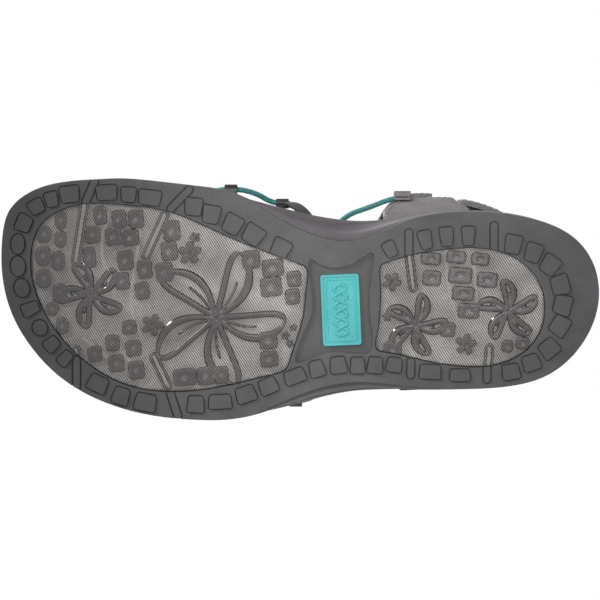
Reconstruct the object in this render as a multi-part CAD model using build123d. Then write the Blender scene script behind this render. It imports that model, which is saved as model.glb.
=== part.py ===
from build123d import *
import os
from math import atan2, cos, degrees, radians, sin, sqrt, tan

# Right-foot sport sandal in millimetres. +Z is up, the toe faces -Y and the big-toe side is +X.
# Plan outlines are (x, y) points on closed splines. Side profiles are (y, z) points.

# Sole unit
OUTSOLE_OUTLINE = [
    (53.4, -84), (51.8, -104.7), (46.8, -120.2), (38.8, -128.8), (27.5, -131.8), (11, -132), (-4.5, -128.6),
    (-20, -120.2), (-35.4, -105.3), (-45.3, -87.5), (-50.8, -69), (-53.4, -46), (-52.1, -24.8), (-46, -9),
    (-38.5, 11.4), (-36.6, 28), (-38.9, 51), (-39.4, 70), (-38.6, 90), (-33.3, 109.8), (-17.6, 126.2),
    (-1, 132), (10.8, 131.2), (25.6, 122.6), (35, 104), (38.5, 84), (38.4, 64.4), (34, 44.3), (28.9, 33.3),
    (26, 20), (29.2, 4.6), (38.1, -13), (46.3, -27), (50.6, -48.7), (52.8, -68),
]
MIDSOLE_TOP_OUTLINE = [
    (50.6, -84), (49.2, -104), (44.4, -118.6), (36.8, -126.6), (26.6, -129.4), (11.4, -129.8), (-3.6, -126.6),
    (-18.6, -118.6), (-34, -104), (-43.8, -86.6), (-49.5, -68.4), (-52.4, -46), (-52.4, -24.8), (-49.6, -8),
    (-44.4, 11.4), (-41.8, 28), (-41.3, 48), (-40.6, 68), (-39.2, 90), (-33.8, 109.6), (-18, 125.6),
    (-1, 131.2), (10.8, 130.6), (25, 122), (34.2, 104), (37.6, 84), (37.4, 64.4), (35, 44.3), (33.5, 31),
    (34.1, 18), (37, 2), (41.4, -15), (45.6, -31), (48.2, -49), (50, -68),
]
FOREFOOT_WINDOW = [
    (42.9, -88), (41.9, -74.3), (38.6, -55.7), (31.7, -39.4), (23.6, -20.8), (17.5, -4), (15.6, 0.8),
    (14.4, 2.8), (12.2, 3.6), (7, 3.2), (-3.4, 2.2), (-16.2, -0.8), (-27, -4.4), (-30.4, -5.7), (-32, -7.4),
    (-33.2, -10.8), (-36.6, -24.8), (-40.6, -46.4), (-41, -60),
    (-37.6, -78.2), (-26.3, -97), (-14, -108.4), (-1.7, -115.5), (10, -119), (22, -119), (33.2, -114.6),
    (40.2, -104.5),
]
HEEL_WINDOW = [
    (16.6, 37.8), (20.5, 51), (22.9, 68), (22.6, 83.5), (14.5, 100.6), (5.3, 106.8), (-3, 108.3), (-14, 106.4),
    (-24.9, 97), (-29.6, 84), (-29.5, 68), (-25.9, 49), (-23.4, 37), (-22.6, 34.2), (-20.6, 33.1),
    (-15.6, 33.7), (-5.8, 35), (5, 35.3), (12.6, 34.9), (15.2, 35.5),
]
SHANK_RECESS = [
    (17.2, 6.2), (14.2, 17), (16.4, 24), (20.8, 31), (0, 30.6), (-23.8, 29.4), (-23.4, 19.8), (-24.4, 9),
    (-27.8, -1.6), (-15, 1.4), (2, 5.2),
]
TOE_SPRING_START = -60.0
TOE_SPRING_R = 374.0
HEEL_BEVEL_START = 100.0
HEEL_BEVEL_R = 206.0
LUG_H = 1.1
OUTSOLE_T = 4.6
LUG_MOAT = 0.55
LUG_MOAT_DEPTH = 0.5
WINDOW_GAP = 0.4
TREAD_FACE = 1.5
TREAD_T = 1.0
LINER_T = 0.6
SHANK_DEPTH = 1.5
BADGE_SIZE = (31.5, 17.0)
BADGE_CENTRE = (-4.6, 18.0)
BADGE_TILT = 2.5
BADGE_T = 1.0
BORDER_W = 1.0
FLARE_TOP_Z = 17.0
SEAT_PROFILE = [
    (-140, 21.5), (-110, 17.6), (-75, 15), (-40, 15.6), (0, 20), (40, 25), (80, 27), (140, 29),
]
BOARD_T = 1.2
FOAM_T = 4.0
COVER_T = 1.2
FOOTBED_INSET = 3.4
HALF_SPAN = 70.0
PROFILE_END = 140.0

# Lugs of the outsole: (x, y, length along the edge, width across the ring)
TOE_LUGS = [
    (24.3, -124.9, 8.8, 5.8), (14.4, -124.9, 8.8, 6.4), (4.8, -123.2, 8, 6.6), (-12.8, -115.2, 6.8, 6.4),
]
SIDE_LUGS = [
    (-4.4, -119.4, 6, 7.6), (-20, -110, 6.2, 6.4), (-26.2, -104, 5.4, 6.8),
    (33.6, -122.2, 7.8, 6.4), (41, -116.6, 7, 6), (44.2, -109.8, 6, 6.4), (46.6, -101.8, 8.8, 7),
    (47.4, -85.4, 9.4, 6.4), (46.5, -75.7, 6.8, 6.4), (45.2, -66.3, 10, 6.4), (41.2, -47, 8, 7.4),
    (37.8, -39.2, 8, 7.6), (33.4, -29.8, 8.4, 8), (28.8, -20.6, 9, 8), (22.4, -8.6, 8.4, 8.4),
    (22.4, 39.7, 5.8, 6.8), (26.6, 55.2, 6, 8), (27.9, 64.6, 6.2, 8.2), (28.3, 74.2, 6, 8.2),
    (24.6, 94, 7.6, 8), (20.9, 103, 7.6, 8), (15.4, 110.4, 8.2, 8), (6.6, 114.9, 9, 7.4),
    (-2.4, 116, 9, 7.4), (-11.6, 114.8, 9, 7.4), (-21.6, 110.2, 8.6, 7.4), (-28, 102.2, 8, 6.8),
    (-32, 93.2, 8, 6.6), (-33.5, 70.7, 9.2, 5.2), (-32, 57.5, 9.8, 6.2), (-28.9, 41.6, 7, 6.2),
    (-29.1, 33.2, 7, 7), (-29.2, 25.4, 6.6, 7), (-29, 16.9, 7.4, 7.2), (-30.6, 7.4, 7, 7),
    (-34, -2.3, 9.6, 6), (-38.3, -14, 8.4, 6.6), (-42, -24, 9, 6.8), (-45.3, -35.4, 10.4, 6),
    (-46.4, -46.2, 7.6, 7.2), (-45.6, -68.5, 9.8, 7.4), (-42.8, -79.3, 7.6, 7.2), (-37.4, -89.6, 9, 7),
]
LUG_CORNER = 1.1
LUG_TAPER = 6.0

# Flex grooves of the outsole: (x, y) to (x, y), with a rib in the middle of each
GROOVES = [
    ((52.4, -90.6), (43.4, -94.6)), ((48.6, -49), (40.4, -57)), ((-27, -99), (-38.6, -99)),
    ((-41.6, -57.4), (-51.4, -54.2)), ((29.6, 48), (20.6, 48)), ((32.8, 85.6), (22.4, 85.6)),
    ((-27.6, 48.9), (-33.4, 48.9)), ((-30.4, 82.7), (-35.4, 82.7)),
]
GROOVE_W = 4.4
GROOVE_DEPTH = 0.9
RIB_W = 2.9

# Upper
STRAP_T = 1.6
LINING_T = 1.1
FRONT_STRAP_Y = -74.0
FRONT_STRAP_W = 20.0
FRONT_STRAP_AXES = (46.0, 27.0, 90.0)
FRONT_STRAP_CENTRE = (0.4, 25.0)
FRONT_STRAP_SKEW = -13.0
FRONT_STRAP_LEAN = 10.0
FRONT_STRAP_FOOT_Z = 12.5
WEBBING_T = 1.3
WEBBING_W = 8.0
EYE_R = 2.7
EYE_BORE_R = 1.45
CORD_D = 2.4
# Webbing loops: name, profile in (x, z) from the sole to the eye, y of the eye, slant in degrees
LOOPS = [
    ("medial_front_loop", [(43.8, 13.5), (47.2, 26), (46.4, 38)], -31, 0),
    ("medial_middle_loop", [(35.6, 16), (40.8, 30), (39.6, 44)], -8, 24),
    ("lateral_front_loop", [(-50.2, 12.5), (-51.8, 22), (-50, 31)], -53, 0),
    ("lateral_middle_loop", [(-47.6, 17), (-50.6, 28), (-48.8, 38)], -2, 0),
]
# Route of the bungee cord, from the lateral front loop to the medial quarter
CORD_ROUTE = [
    (-50, -57, 31), (-50, -48.6, 31), (-48, -43.4, 37.6), (-38.6, -40.4, 49), (-20, -38.6, 58),
    (2, -37.6, 61.5), (23, -37.4, 58.6), (38, -38.4, 51), (45.6, -38.2, 42.6), (46.4, -34, 38),
    (46.4, -26.4, 38), (44.4, -19.4, 40), (40.2, -13, 43.8), (39.6, -7, 44), (37.4, -1, 49.4),
    (28.6, 1.8, 60.4), (13, 2.4, 69.6), (-6, 1.6, 72), (-25, -1, 66.6), (-40, -5, 55.4),
    (-47.8, -8.4, 43.2), (-48.8, -4.6, 38), (-48.8, 1.6, 38), (-47.4, 7, 44.4), (-38.4, 10, 58.4),
    (-21.6, 11.2, 71), (-2, 12, 76.4), (16, 13.4, 72.6), (28.6, 16.4, 62.4), (34.4, 22.4, 53.8),
    (37.4, 31, 50), (41.4, 40.4, 48.6), (43.2, 49.6, 48.2),
]
# The ankle band: semi-axes (half width, height above its centre, depth below it)
ANKLE_AXES = (39.8, 38.0, 64.0)
ANKLE_CENTRE = (-1.0, 55.0)
QUARTER_SIDE = [(37, 20), (37, 27), (44, 44), (48.5, 62), (69, 62), (70.5, 44), (76, 30), (76, 20)]
LINING_MARGIN = 1.0
SLEEVE_Y = 46.0
SLEEVE_L = 9.0
SLEEVE_AT = (43.0, 48.4)
INSTEP_Y = 54.0
INSTEP_W = 18.0
INSTEP_LEAN = 20.0
INSTEP_LIFT = 2.9
INSTEP_SPAN = (2.0, 147.0)
INSTEP_PAD_LIFT = 0.4
INSTEP_PAD_SPAN = (17.0, 139.0)
PATCH_T = 0.8
PATCH_W = 14.0
PATCH_GAP = 0.3
LOOP_PATCH_SPAN = (80.0, 130.0)
HOOK_PATCH_SPAN = (82.0, 128.0)
TAB_T = 1.4
TAB_SPAN = (74.0, 141.6)
FOLD_ANGLE = 147.0
FOLD_LIFT = 5.4
FOLD_R = 3.4
FOLD_BORE_R = 2.2
RING_WIRE_R = 1.1
RING_HALF = 10.9
KEEPER_ANGLE = 159.5
KEEPER_SPAN = (159.5, 186.0)
KEEPER_W = 16.0
KEEPER_T = 1.3
KEEPER_EYE_R = 2.5
KEEPER_BORE_R = 1.2
HEEL_STRAP_AXES = (38.3, 50.0)
HEEL_STRAP_START = 62.0
HEEL_STRAP_SIDE = [(54, 47), (54, 64), (84, 67), (122, 77), (122, 53), (84, 50)]
HEEL_PAD_T = 2.4

parts = {}


def plan_face(points):
    """The face inside a closed smooth outline in plan."""
    return make_face(Spline(*points, periodic=True))


def inset_points(points, distance):
    """The points of a closed outline, each moved the same distance inwards."""
    befores, afters = points[-1:] + points[:-1], points[1:] + points[:1]
    turning = sum(x0 * y1 - x1 * y0 for (x0, y0), (x1, y1) in zip(points, afters))
    inwards = distance if turning > 0 else -distance
    moved = []
    for (x, y), before, after in zip(points, befores, afters):
        tangent = (Vector(*after) - Vector(*before)).normalized()
        moved.append((x - inwards * tangent.Y, y + inwards * tangent.X))
    return moved


def prism(face, low=-5.0, high=120.0):
    """A plan face swept from one height to another."""
    return extrude(Pos(0, 0, low) * face, high - low)


def ground_height(y, rise):
    """Height of the line that lies a given distance inside the sole's lower surface."""
    if y < TOE_SPRING_START:
        return TOE_SPRING_R - sqrt((TOE_SPRING_R - rise) ** 2 - (y - TOE_SPRING_START) ** 2)
    if y > HEEL_BEVEL_START:
        return HEEL_BEVEL_R - sqrt((HEEL_BEVEL_R - rise) ** 2 - (y - HEEL_BEVEL_START) ** 2)
    return rise


def ground_line(rise):
    """The sole's lower line from toe to heel: toe spring, flat and heel bevel."""
    toe_ys = (-PROFILE_END, (TOE_SPRING_START - PROFILE_END) / 2, TOE_SPRING_START)
    heel_ys = (HEEL_BEVEL_START, (HEEL_BEVEL_START + PROFILE_END) / 2, PROFILE_END)
    toe = ThreePointArc(*[(y, ground_height(y, rise)) for y in toe_ys])
    flat = Line((TOE_SPRING_START, rise), (HEEL_BEVEL_START, rise))
    heel = ThreePointArc(*[(y, ground_height(y, rise)) for y in heel_ys])
    return [toe, flat, heel]


def seat_line(lift):
    """The midsole's upper line, lifted by the layers that lie on it."""
    return [Spline(*[(y, z + lift) for y, z in SEAT_PROFILE])]


def band(lower, upper):
    """The full-width slab between two side lines."""
    ends = [Line(lower[0] @ 0, upper[0] @ 0), Line(lower[-1] @ 1, upper[-1] @ 1)]
    return extrude(Plane.YZ * make_face(Curve() + lower + upper + ends), HALF_SPAN, both=True)


def side_prism(points):
    """A (y, z) polygon swept across the full width."""
    return extrude(Plane.YZ * make_face(Polyline(*points, close=True)), HALF_SPAN, both=True)


def half_space(side):
    """Everything on one side of the middle plane: +1 medial, -1 lateral."""
    return Pos(side * HALF_SPAN / 2, 0, 60) * Box(HALF_SPAN, 4 * HALF_SPAN, 200)


outsole_edge = Spline(*OUTSOLE_OUTLINE, periodic=True)
outsole_face = make_face(outsole_edge)
midsole_top_face = plan_face(MIDSOLE_TOP_OUTLINE)
footbed_face = plan_face(inset_points(MIDSOLE_TOP_OUTLINE, FOOTBED_INSET))
forefoot_window_face = plan_face(FOREFOOT_WINDOW)
heel_window_face = plan_face(HEEL_WINDOW)
shank_face = plan_face(SHANK_RECESS)


def edge_angle(x, y):
    """Direction of the outsole's outline beside a point, in degrees."""
    beside = outsole_edge.distance_to_with_closest_points(Vertex(x, y, 0))[1]
    tangent = outsole_edge.tangent_at(outsole_edge.param_at_point(beside))
    return degrees(atan2(tangent.Y, tangent.X))


def lug_face(x, y, along, across, grow=0.0):
    """A rounded trapezoid that lies along the outline, narrower towards the window."""
    shape = Trapezoid(along + 2 * grow, across + 2 * grow, 90 - LUG_TAPER)
    shape = fillet(shape.vertices(), LUG_CORNER + grow)
    return Pos(x, y) * Rot(0, 0, edge_angle(x, y) + 180) * shape


def toe_lug_face(x, y, along, across, grow=0.0):
    """An oval lug that lies along the outline."""
    return Pos(x, y) * Rot(0, 0, edge_angle(x, y)) * Ellipse(along / 2 + grow, across / 2 + grow)


def lug_faces(grow):
    """All the lugs' faces in plan, each grown by the same amount."""
    return [toe_lug_face(*lug, grow) for lug in TOE_LUGS] + [lug_face(*lug, grow) for lug in SIDE_LUGS]


def groove_face(start, end, width):
    """A round-ended slot between two points in plan."""
    span = Vector(*end) - Vector(*start)
    slot = SlotCenterToCenter(abs(span), width)
    return Pos((Vector(*start) + Vector(*end)) / 2) * Rot(0, 0, degrees(atan2(span.Y, span.X))) * slot


def outsole():
    """Rubber outsole with lugs in moats, flex grooves, two windows and the shank recess."""
    base = prism(outsole_face) & band(ground_line(LUG_H), ground_line(OUTSOLE_T))
    moats = [prism(face) for face in lug_faces(LUG_MOAT)]
    grooves = [prism(groove_face(a, b, GROOVE_W)) for a, b in GROOVES]
    ribs = [prism(groove_face(a, b, RIB_W)) for a, b in GROOVES]
    base -= Compound(moats) & band(ground_line(0), ground_line(LUG_H + LUG_MOAT_DEPTH))
    base -= Compound(grooves) & band(ground_line(0), ground_line(LUG_H + GROOVE_DEPTH))
    base -= prism(shank_face) & band(ground_line(0), ground_line(LUG_H + SHANK_DEPTH))
    lugs = Compound([prism(face) for face in lug_faces(0.0)])
    base += lugs & band(ground_line(0), ground_line(LUG_H + 2 * LUG_MOAT_DEPTH))
    base += Compound(ribs) & band(ground_line(LUG_H), ground_line(LUG_H + 2 * GROOVE_DEPTH))
    base &= prism(outsole_face)
    return base - prism(forefoot_window_face) - prism(heel_window_face)


def window_layer(outline, low, high):
    """One flat layer inside a window of the outsole."""
    return prism(plan_face(inset_points(outline, WINDOW_GAP))) & band(ground_line(low), ground_line(high))


def badge_plate(inset, low, high):
    """The badge's plate, or a smaller one inside it, between two depths."""
    size = [side - 2 * inset for side in BADGE_SIZE]
    face = Pos(*BADGE_CENTRE) * Rot(0, 0, -BADGE_TILT) * RectangleRounded(*size, 1.2)
    return prism(face) & band(ground_line(low), ground_line(high))


def badge():
    """Rubber badge with a double raised border."""
    back = LUG_H + SHANK_DEPTH
    face = back - BADGE_T
    plate = badge_plate(0, face, back)
    outer = badge_plate(0, face - 0.4, face) - badge_plate(BORDER_W, face - 0.4, face)
    inner = badge_plate(1.8 * BORDER_W, face - 0.3, face) - badge_plate(2.5 * BORDER_W, face - 0.3, face)
    return plate + outer + inner


def midsole():
    """Foam midsole that flares from the outsole's outline to the footbed's, with a plug over each window."""
    flare = loft([outsole_face.face(), Pos(0, 0, FLARE_TOP_Z) * midsole_top_face.face()])
    body = flare + prism(midsole_top_face, FLARE_TOP_Z)
    body &= band(ground_line(OUTSOLE_T), seat_line(0))
    plug_low = TREAD_FACE + TREAD_T + LINER_T
    for outline in (FOREFOOT_WINDOW, HEEL_WINDOW):
        body += window_layer(outline, plug_low, OUTSOLE_T)
    return body


def footbed_layer(low, high):
    """A layer of the footbed between two heights above the midsole's seat."""
    return prism(footbed_face) & band(seat_line(low), seat_line(high))


def band_face(axes, grow):
    """An oval section of the foot: a flatter ellipse above its centre and a deeper one below."""
    half_width, height, depth = axes
    above = Ellipse(half_width + grow, height + grow) & Pos(0, 100) * Rectangle(200, 200)
    below = Ellipse(half_width + grow, depth + grow) & Pos(0, -100) * Rectangle(200, 200)
    return above + below


def arc_band(axes, low, high, width, span):
    """Part of a band round the foot between two lifts, and two angles counted from the medial side."""
    ring = band_face(axes, high) - band_face(axes, low)
    reach = 3 * max(axes)
    rays = [radians(span[0] + (span[1] - span[0]) * i / 4) for i in range(5)]
    wedge = make_face(Polyline((0, 0), *[(reach * cos(t), reach * sin(t)) for t in rays], close=True))
    return extrude(Plane.XZ * (ring & wedge), width / 2, both=True)


def front_strap(low, high):
    """A layer of the strap over the toes, with its ends let into the midsole."""
    layer = arc_band(FRONT_STRAP_AXES, low, high, FRONT_STRAP_W, (-45, 225))
    x, z = FRONT_STRAP_CENTRE
    layer = Pos(x, FRONT_STRAP_Y, z) * Rot(0, 0, FRONT_STRAP_SKEW) * Rot(FRONT_STRAP_LEAN, 0, 0) * layer
    return layer & Pos(0, FRONT_STRAP_Y, FRONT_STRAP_FOOT_Z + 50) * Box(200, 80, 100)


def webbing_loop(profile, y, slant):
    """A webbing leg from the sole to a sewn eye that holds the cord."""
    side = 1 if profile[0][0] > 0 else -1
    inner = [(x - side * WEBBING_T, z) for x, z in profile]
    edges = [ThreePointArc(*profile), ThreePointArc(*inner)]
    edges += [Line(profile[0], inner[0]), Line(profile[2], inner[2])]
    leg = extrude(Plane.XZ * make_face(Curve() + edges), WEBBING_W / 2, both=True)
    eye_x, eye_z = profile[2]
    leg = Pos(0, 0, eye_z) * Rot(slant, 0, 0) * Pos(0, 0, -eye_z) * leg
    at_eye = Pos(eye_x, 0, eye_z) * Rot(90, 0, 0)
    loop = leg + at_eye * Cylinder(EYE_R, WEBBING_W) - at_eye * Cylinder(EYE_BORE_R, 3 * WEBBING_W)
    return Pos(0, y, 0) * loop


def corner_radii(points):
    """A radius for each corner of a route: as large as its two runs allow."""
    radii = []
    for before, corner, after in zip(points, points[1:], points[2:]):
        arriving, leaving = Vector(*corner) - Vector(*before), Vector(*after) - Vector(*corner)
        turn = radians(arriving.get_angle(leaving))
        radii.append(0.45 * min(abs(arriving), abs(leaving)) / tan(turn / 2))
    return radii


def cord():
    """The bungee cord as one tube along its route over the foot."""
    radii = corner_radii(CORD_ROUTE)
    route = FilletPolyline(*CORD_ROUTE, radius=radii)
    section = Plane(origin=route @ 0, z_dir=route % 0) * Circle(CORD_D / 2)
    tube = sweep(section, path=route)
    print("cord radii", [round(r, 1) for r in radii])
    print("cord volume", round(tube.volume, 1), "section times length", round(section.area * route.length, 1))
    print("cord length", round(route.length, 1))
    return tube


def quarter(side, low, high, margin=0.0):
    """A curved side panel that rises from the midsole beside the ankle."""
    ring = arc_band(ANKLE_AXES, low, high, 2 * HALF_SPAN, (-80, 260))
    x, z = ANKLE_CENTRE
    outline = make_face(Polyline(*QUARTER_SIDE, close=True))
    if margin:
        outline = offset(outline, -margin)
    panel = Pos(x, SLEEVE_Y, z) * ring & extrude(Plane.YZ * outline, HALF_SPAN, both=True)
    return panel & half_space(side)


def on_ankle(shape):
    """Moves a shape from the instep strap's own frame to its place."""
    x, z = ANKLE_CENTRE
    return Pos(x, INSTEP_Y, z) * Rot(INSTEP_LEAN, 0, 0) * shape


def ankle_point(angle, lift):
    """A point of the instep strap's own (x, z) frame, at an angle from the medial side."""
    half_width, height, _ = ANKLE_AXES
    return (half_width + lift) * cos(radians(angle)), (height + lift) * sin(radians(angle))


def across(angle, lift, radius, length):
    """A round bar across the strap at an angle, in the strap's own frame."""
    x, z = ankle_point(angle, lift)
    return Pos(x, 0, z) * Rot(90, 0, 0) * Cylinder(radius, length)


def instep_strap():
    """The instep strap, folded round the ring's bar at its lateral end."""
    strap = arc_band(ANKLE_AXES, INSTEP_LIFT, INSTEP_LIFT + STRAP_T, INSTEP_W, INSTEP_SPAN)
    strap += across(FOLD_ANGLE, FOLD_LIFT, FOLD_R, INSTEP_W)
    return on_ankle(strap - across(FOLD_ANGLE, FOLD_LIFT, FOLD_BORE_R, 2 * INSTEP_W))


def ring_keeper():
    """The webbing on the lateral quarter that holds the ring's lower bar."""
    keeper = arc_band(ANKLE_AXES, INSTEP_LIFT, INSTEP_LIFT + KEEPER_T, KEEPER_W, KEEPER_SPAN)
    keeper += across(KEEPER_ANGLE, FOLD_LIFT, KEEPER_EYE_R, KEEPER_W)
    return on_ankle(keeper - across(KEEPER_ANGLE, FOLD_LIFT, KEEPER_BORE_R, 2 * KEEPER_W))


def strap_ring():
    """A rectangular wire ring through the strap's fold and the keeper."""
    (x0, z0), (x1, z1) = ankle_point(FOLD_ANGLE, FOLD_LIFT), ankle_point(KEEPER_ANGLE, FOLD_LIFT)
    length = sqrt((x1 - x0) ** 2 + (z1 - z0) ** 2)
    path = RectangleRounded(length, 2 * RING_HALF, RING_WIRE_R).wire()
    section = Plane(origin=path @ 0, z_dir=path % 0) * Circle(RING_WIRE_R)
    ring = sweep(section, path=path, transition=Transition.ROUND)
    tilt = degrees(atan2(z1 - z0, x1 - x0))
    return on_ankle(Pos((x0 + x1) / 2, 0, (z0 + z1) / 2) * Rot(0, -tilt, 0) * ring)


def instep_layer(low, high, width, span):
    """A curved layer that follows the instep strap."""
    return on_ankle(arc_band(ANKLE_AXES, low, high, width, span))


def heel_band(inset_low, inset_high):
    """A layer of the sling round the heel, between two insets from its outer surface."""
    half_width, reach = HEEL_STRAP_AXES

    def plan(inset):
        back = Ellipse(half_width - inset, reach - inset) & Pos(0, 100) * Rectangle(200, 200)
        return back + Pos(0, -10) * Rectangle(2 * (half_width - inset), 20)

    face = Pos(ANKLE_CENTRE[0], HEEL_STRAP_START) * (plan(inset_low) - plan(inset_high))
    return prism(face, 20, 120) & side_prism(HEEL_STRAP_SIDE)


def build():
    """All the sub-parts by name."""
    tread_back = TREAD_FACE + TREAD_T
    foam_low, cover_low = BOARD_T, BOARD_T + FOAM_T
    parts["outsole"] = outsole()
    parts["forefoot_tread"] = window_layer(FOREFOOT_WINDOW, TREAD_FACE, tread_back)
    parts["heel_tread"] = window_layer(HEEL_WINDOW, TREAD_FACE, tread_back)
    parts["forefoot_liner"] = window_layer(FOREFOOT_WINDOW, tread_back, tread_back + LINER_T)
    parts["heel_liner"] = window_layer(HEEL_WINDOW, tread_back, tread_back + LINER_T)
    parts["shank_badge"] = badge()
    uppers = {
        "front_strap": front_strap(LINING_T, LINING_T + STRAP_T),
        "front_strap_lining": front_strap(0, LINING_T),
        "medial_quarter": quarter(1, LINING_T, LINING_T + STRAP_T),
        "medial_quarter_lining": quarter(1, 0, LINING_T, LINING_MARGIN),
        "lateral_quarter": quarter(-1, LINING_T, LINING_T + STRAP_T),
        "lateral_quarter_lining": quarter(-1, 0, LINING_T, LINING_MARGIN),
    }
    for name, profile, y, slant in LOOPS:
        uppers[name] = webbing_loop(profile, y, slant)
    sole_layers = {
        "midsole": midsole(),
        "insole_board": footbed_layer(0, foam_low),
        "footbed_foam": footbed_layer(foam_low, cover_low),
        "footbed_cover": footbed_layer(cover_low, cover_low + COVER_T),
    }
    for name, layer in sole_layers.items():
        for upper in uppers.values():
            layer -= upper
        parts[name] = layer
    parts.update(uppers)
    at_sleeve = Pos(SLEEVE_AT[0], SLEEVE_Y, SLEEVE_AT[1]) * Rot(90, 0, 0)
    parts["cord_sleeve"] = at_sleeve * (Cylinder(EYE_R, SLEEVE_L) - Cylinder(EYE_BORE_R, 2 * SLEEVE_L))
    parts["bungee_cord"] = cord()
    patch_low = INSTEP_LIFT + STRAP_T
    hook_low = patch_low + PATCH_T + PATCH_GAP
    tab_low = hook_low + PATCH_T
    parts["instep_strap"] = instep_strap()
    parts["instep_pad"] = instep_layer(INSTEP_PAD_LIFT, INSTEP_LIFT, INSTEP_W - 2, INSTEP_PAD_SPAN)
    parts["loop_patch"] = instep_layer(patch_low, patch_low + PATCH_T, PATCH_W, LOOP_PATCH_SPAN)
    parts["hook_patch"] = instep_layer(hook_low, tab_low, PATCH_W, HOOK_PATCH_SPAN)
    parts["adjuster_tab"] = instep_layer(tab_low, tab_low + TAB_T, INSTEP_W, TAB_SPAN)
    parts["strap_ring"] = strap_ring()
    parts["ring_keeper"] = ring_keeper()
    pad_in = STRAP_T + HEEL_PAD_T
    parts["heel_strap"] = heel_band(0, STRAP_T)
    parts["heel_strap_pad"] = heel_band(STRAP_T, pad_in)
    parts["heel_strap_lining"] = heel_band(pad_in, pad_in + LINING_T)


def write():
    """Centres the sandal over the origin, on z = 0, and writes a file for each sub-part."""
    os.makedirs("parts", exist_ok=True)
    whole = Compound([solid for shape in parts.values() for solid in shape.solids()])
    box = whole.bounding_box()
    shift = Pos(-box.center().X, -box.center().Y, -box.min.Z)
    print("shift", [round(value, 3) for value in shift.position])
    for name, shape in parts.items():
        export_step(shift * Compound(shape.solids()), f"parts/{name}.step")


build()
write()
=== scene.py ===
import math

import bmesh
import bpy
import numpy as np
from mathutils import Matrix, Vector


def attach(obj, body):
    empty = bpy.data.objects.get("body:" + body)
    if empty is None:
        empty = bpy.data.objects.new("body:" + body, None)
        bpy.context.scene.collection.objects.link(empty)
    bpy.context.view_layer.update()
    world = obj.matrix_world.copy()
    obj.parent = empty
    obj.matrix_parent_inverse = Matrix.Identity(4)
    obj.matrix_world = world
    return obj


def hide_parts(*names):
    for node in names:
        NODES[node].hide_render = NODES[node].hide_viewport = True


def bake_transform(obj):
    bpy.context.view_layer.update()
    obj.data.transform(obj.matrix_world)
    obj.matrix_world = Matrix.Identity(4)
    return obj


# Looks of a strappy sport sandal. Shapes are worked out in millimetres and stored in metres.
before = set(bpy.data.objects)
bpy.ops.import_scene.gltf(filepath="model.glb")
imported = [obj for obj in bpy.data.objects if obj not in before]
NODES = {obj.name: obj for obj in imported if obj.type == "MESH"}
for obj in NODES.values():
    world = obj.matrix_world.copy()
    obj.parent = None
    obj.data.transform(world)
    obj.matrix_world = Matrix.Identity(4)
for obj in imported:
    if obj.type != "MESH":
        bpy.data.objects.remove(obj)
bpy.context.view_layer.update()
MM = 0.001
SHIFT = np.array([0.035, 0.062])  # added to a point of the outlines below, it gives the row frame's point
OFF_X, OFF_Y = SHIFT
scene = bpy.context.scene


# ---- Materials ----
FOOT_LENGTH = 0.2645
WAVE_SCALE = 314.16  # the wave texture's scale that makes one band per millimetre


def srgb(*values):
    """Linear colour from 0-255 display values."""
    scaled = [v / 255 for v in values]
    return (*[c / 12.92 if c <= 0.04045 else ((c + 0.055) / 1.055) ** 2.4 for c in scaled], 1.0)


def shifted(colour, by):
    """Linear colour from display values, all moved by the same amount."""
    return srgb(*[c + by for c in colour])


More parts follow.
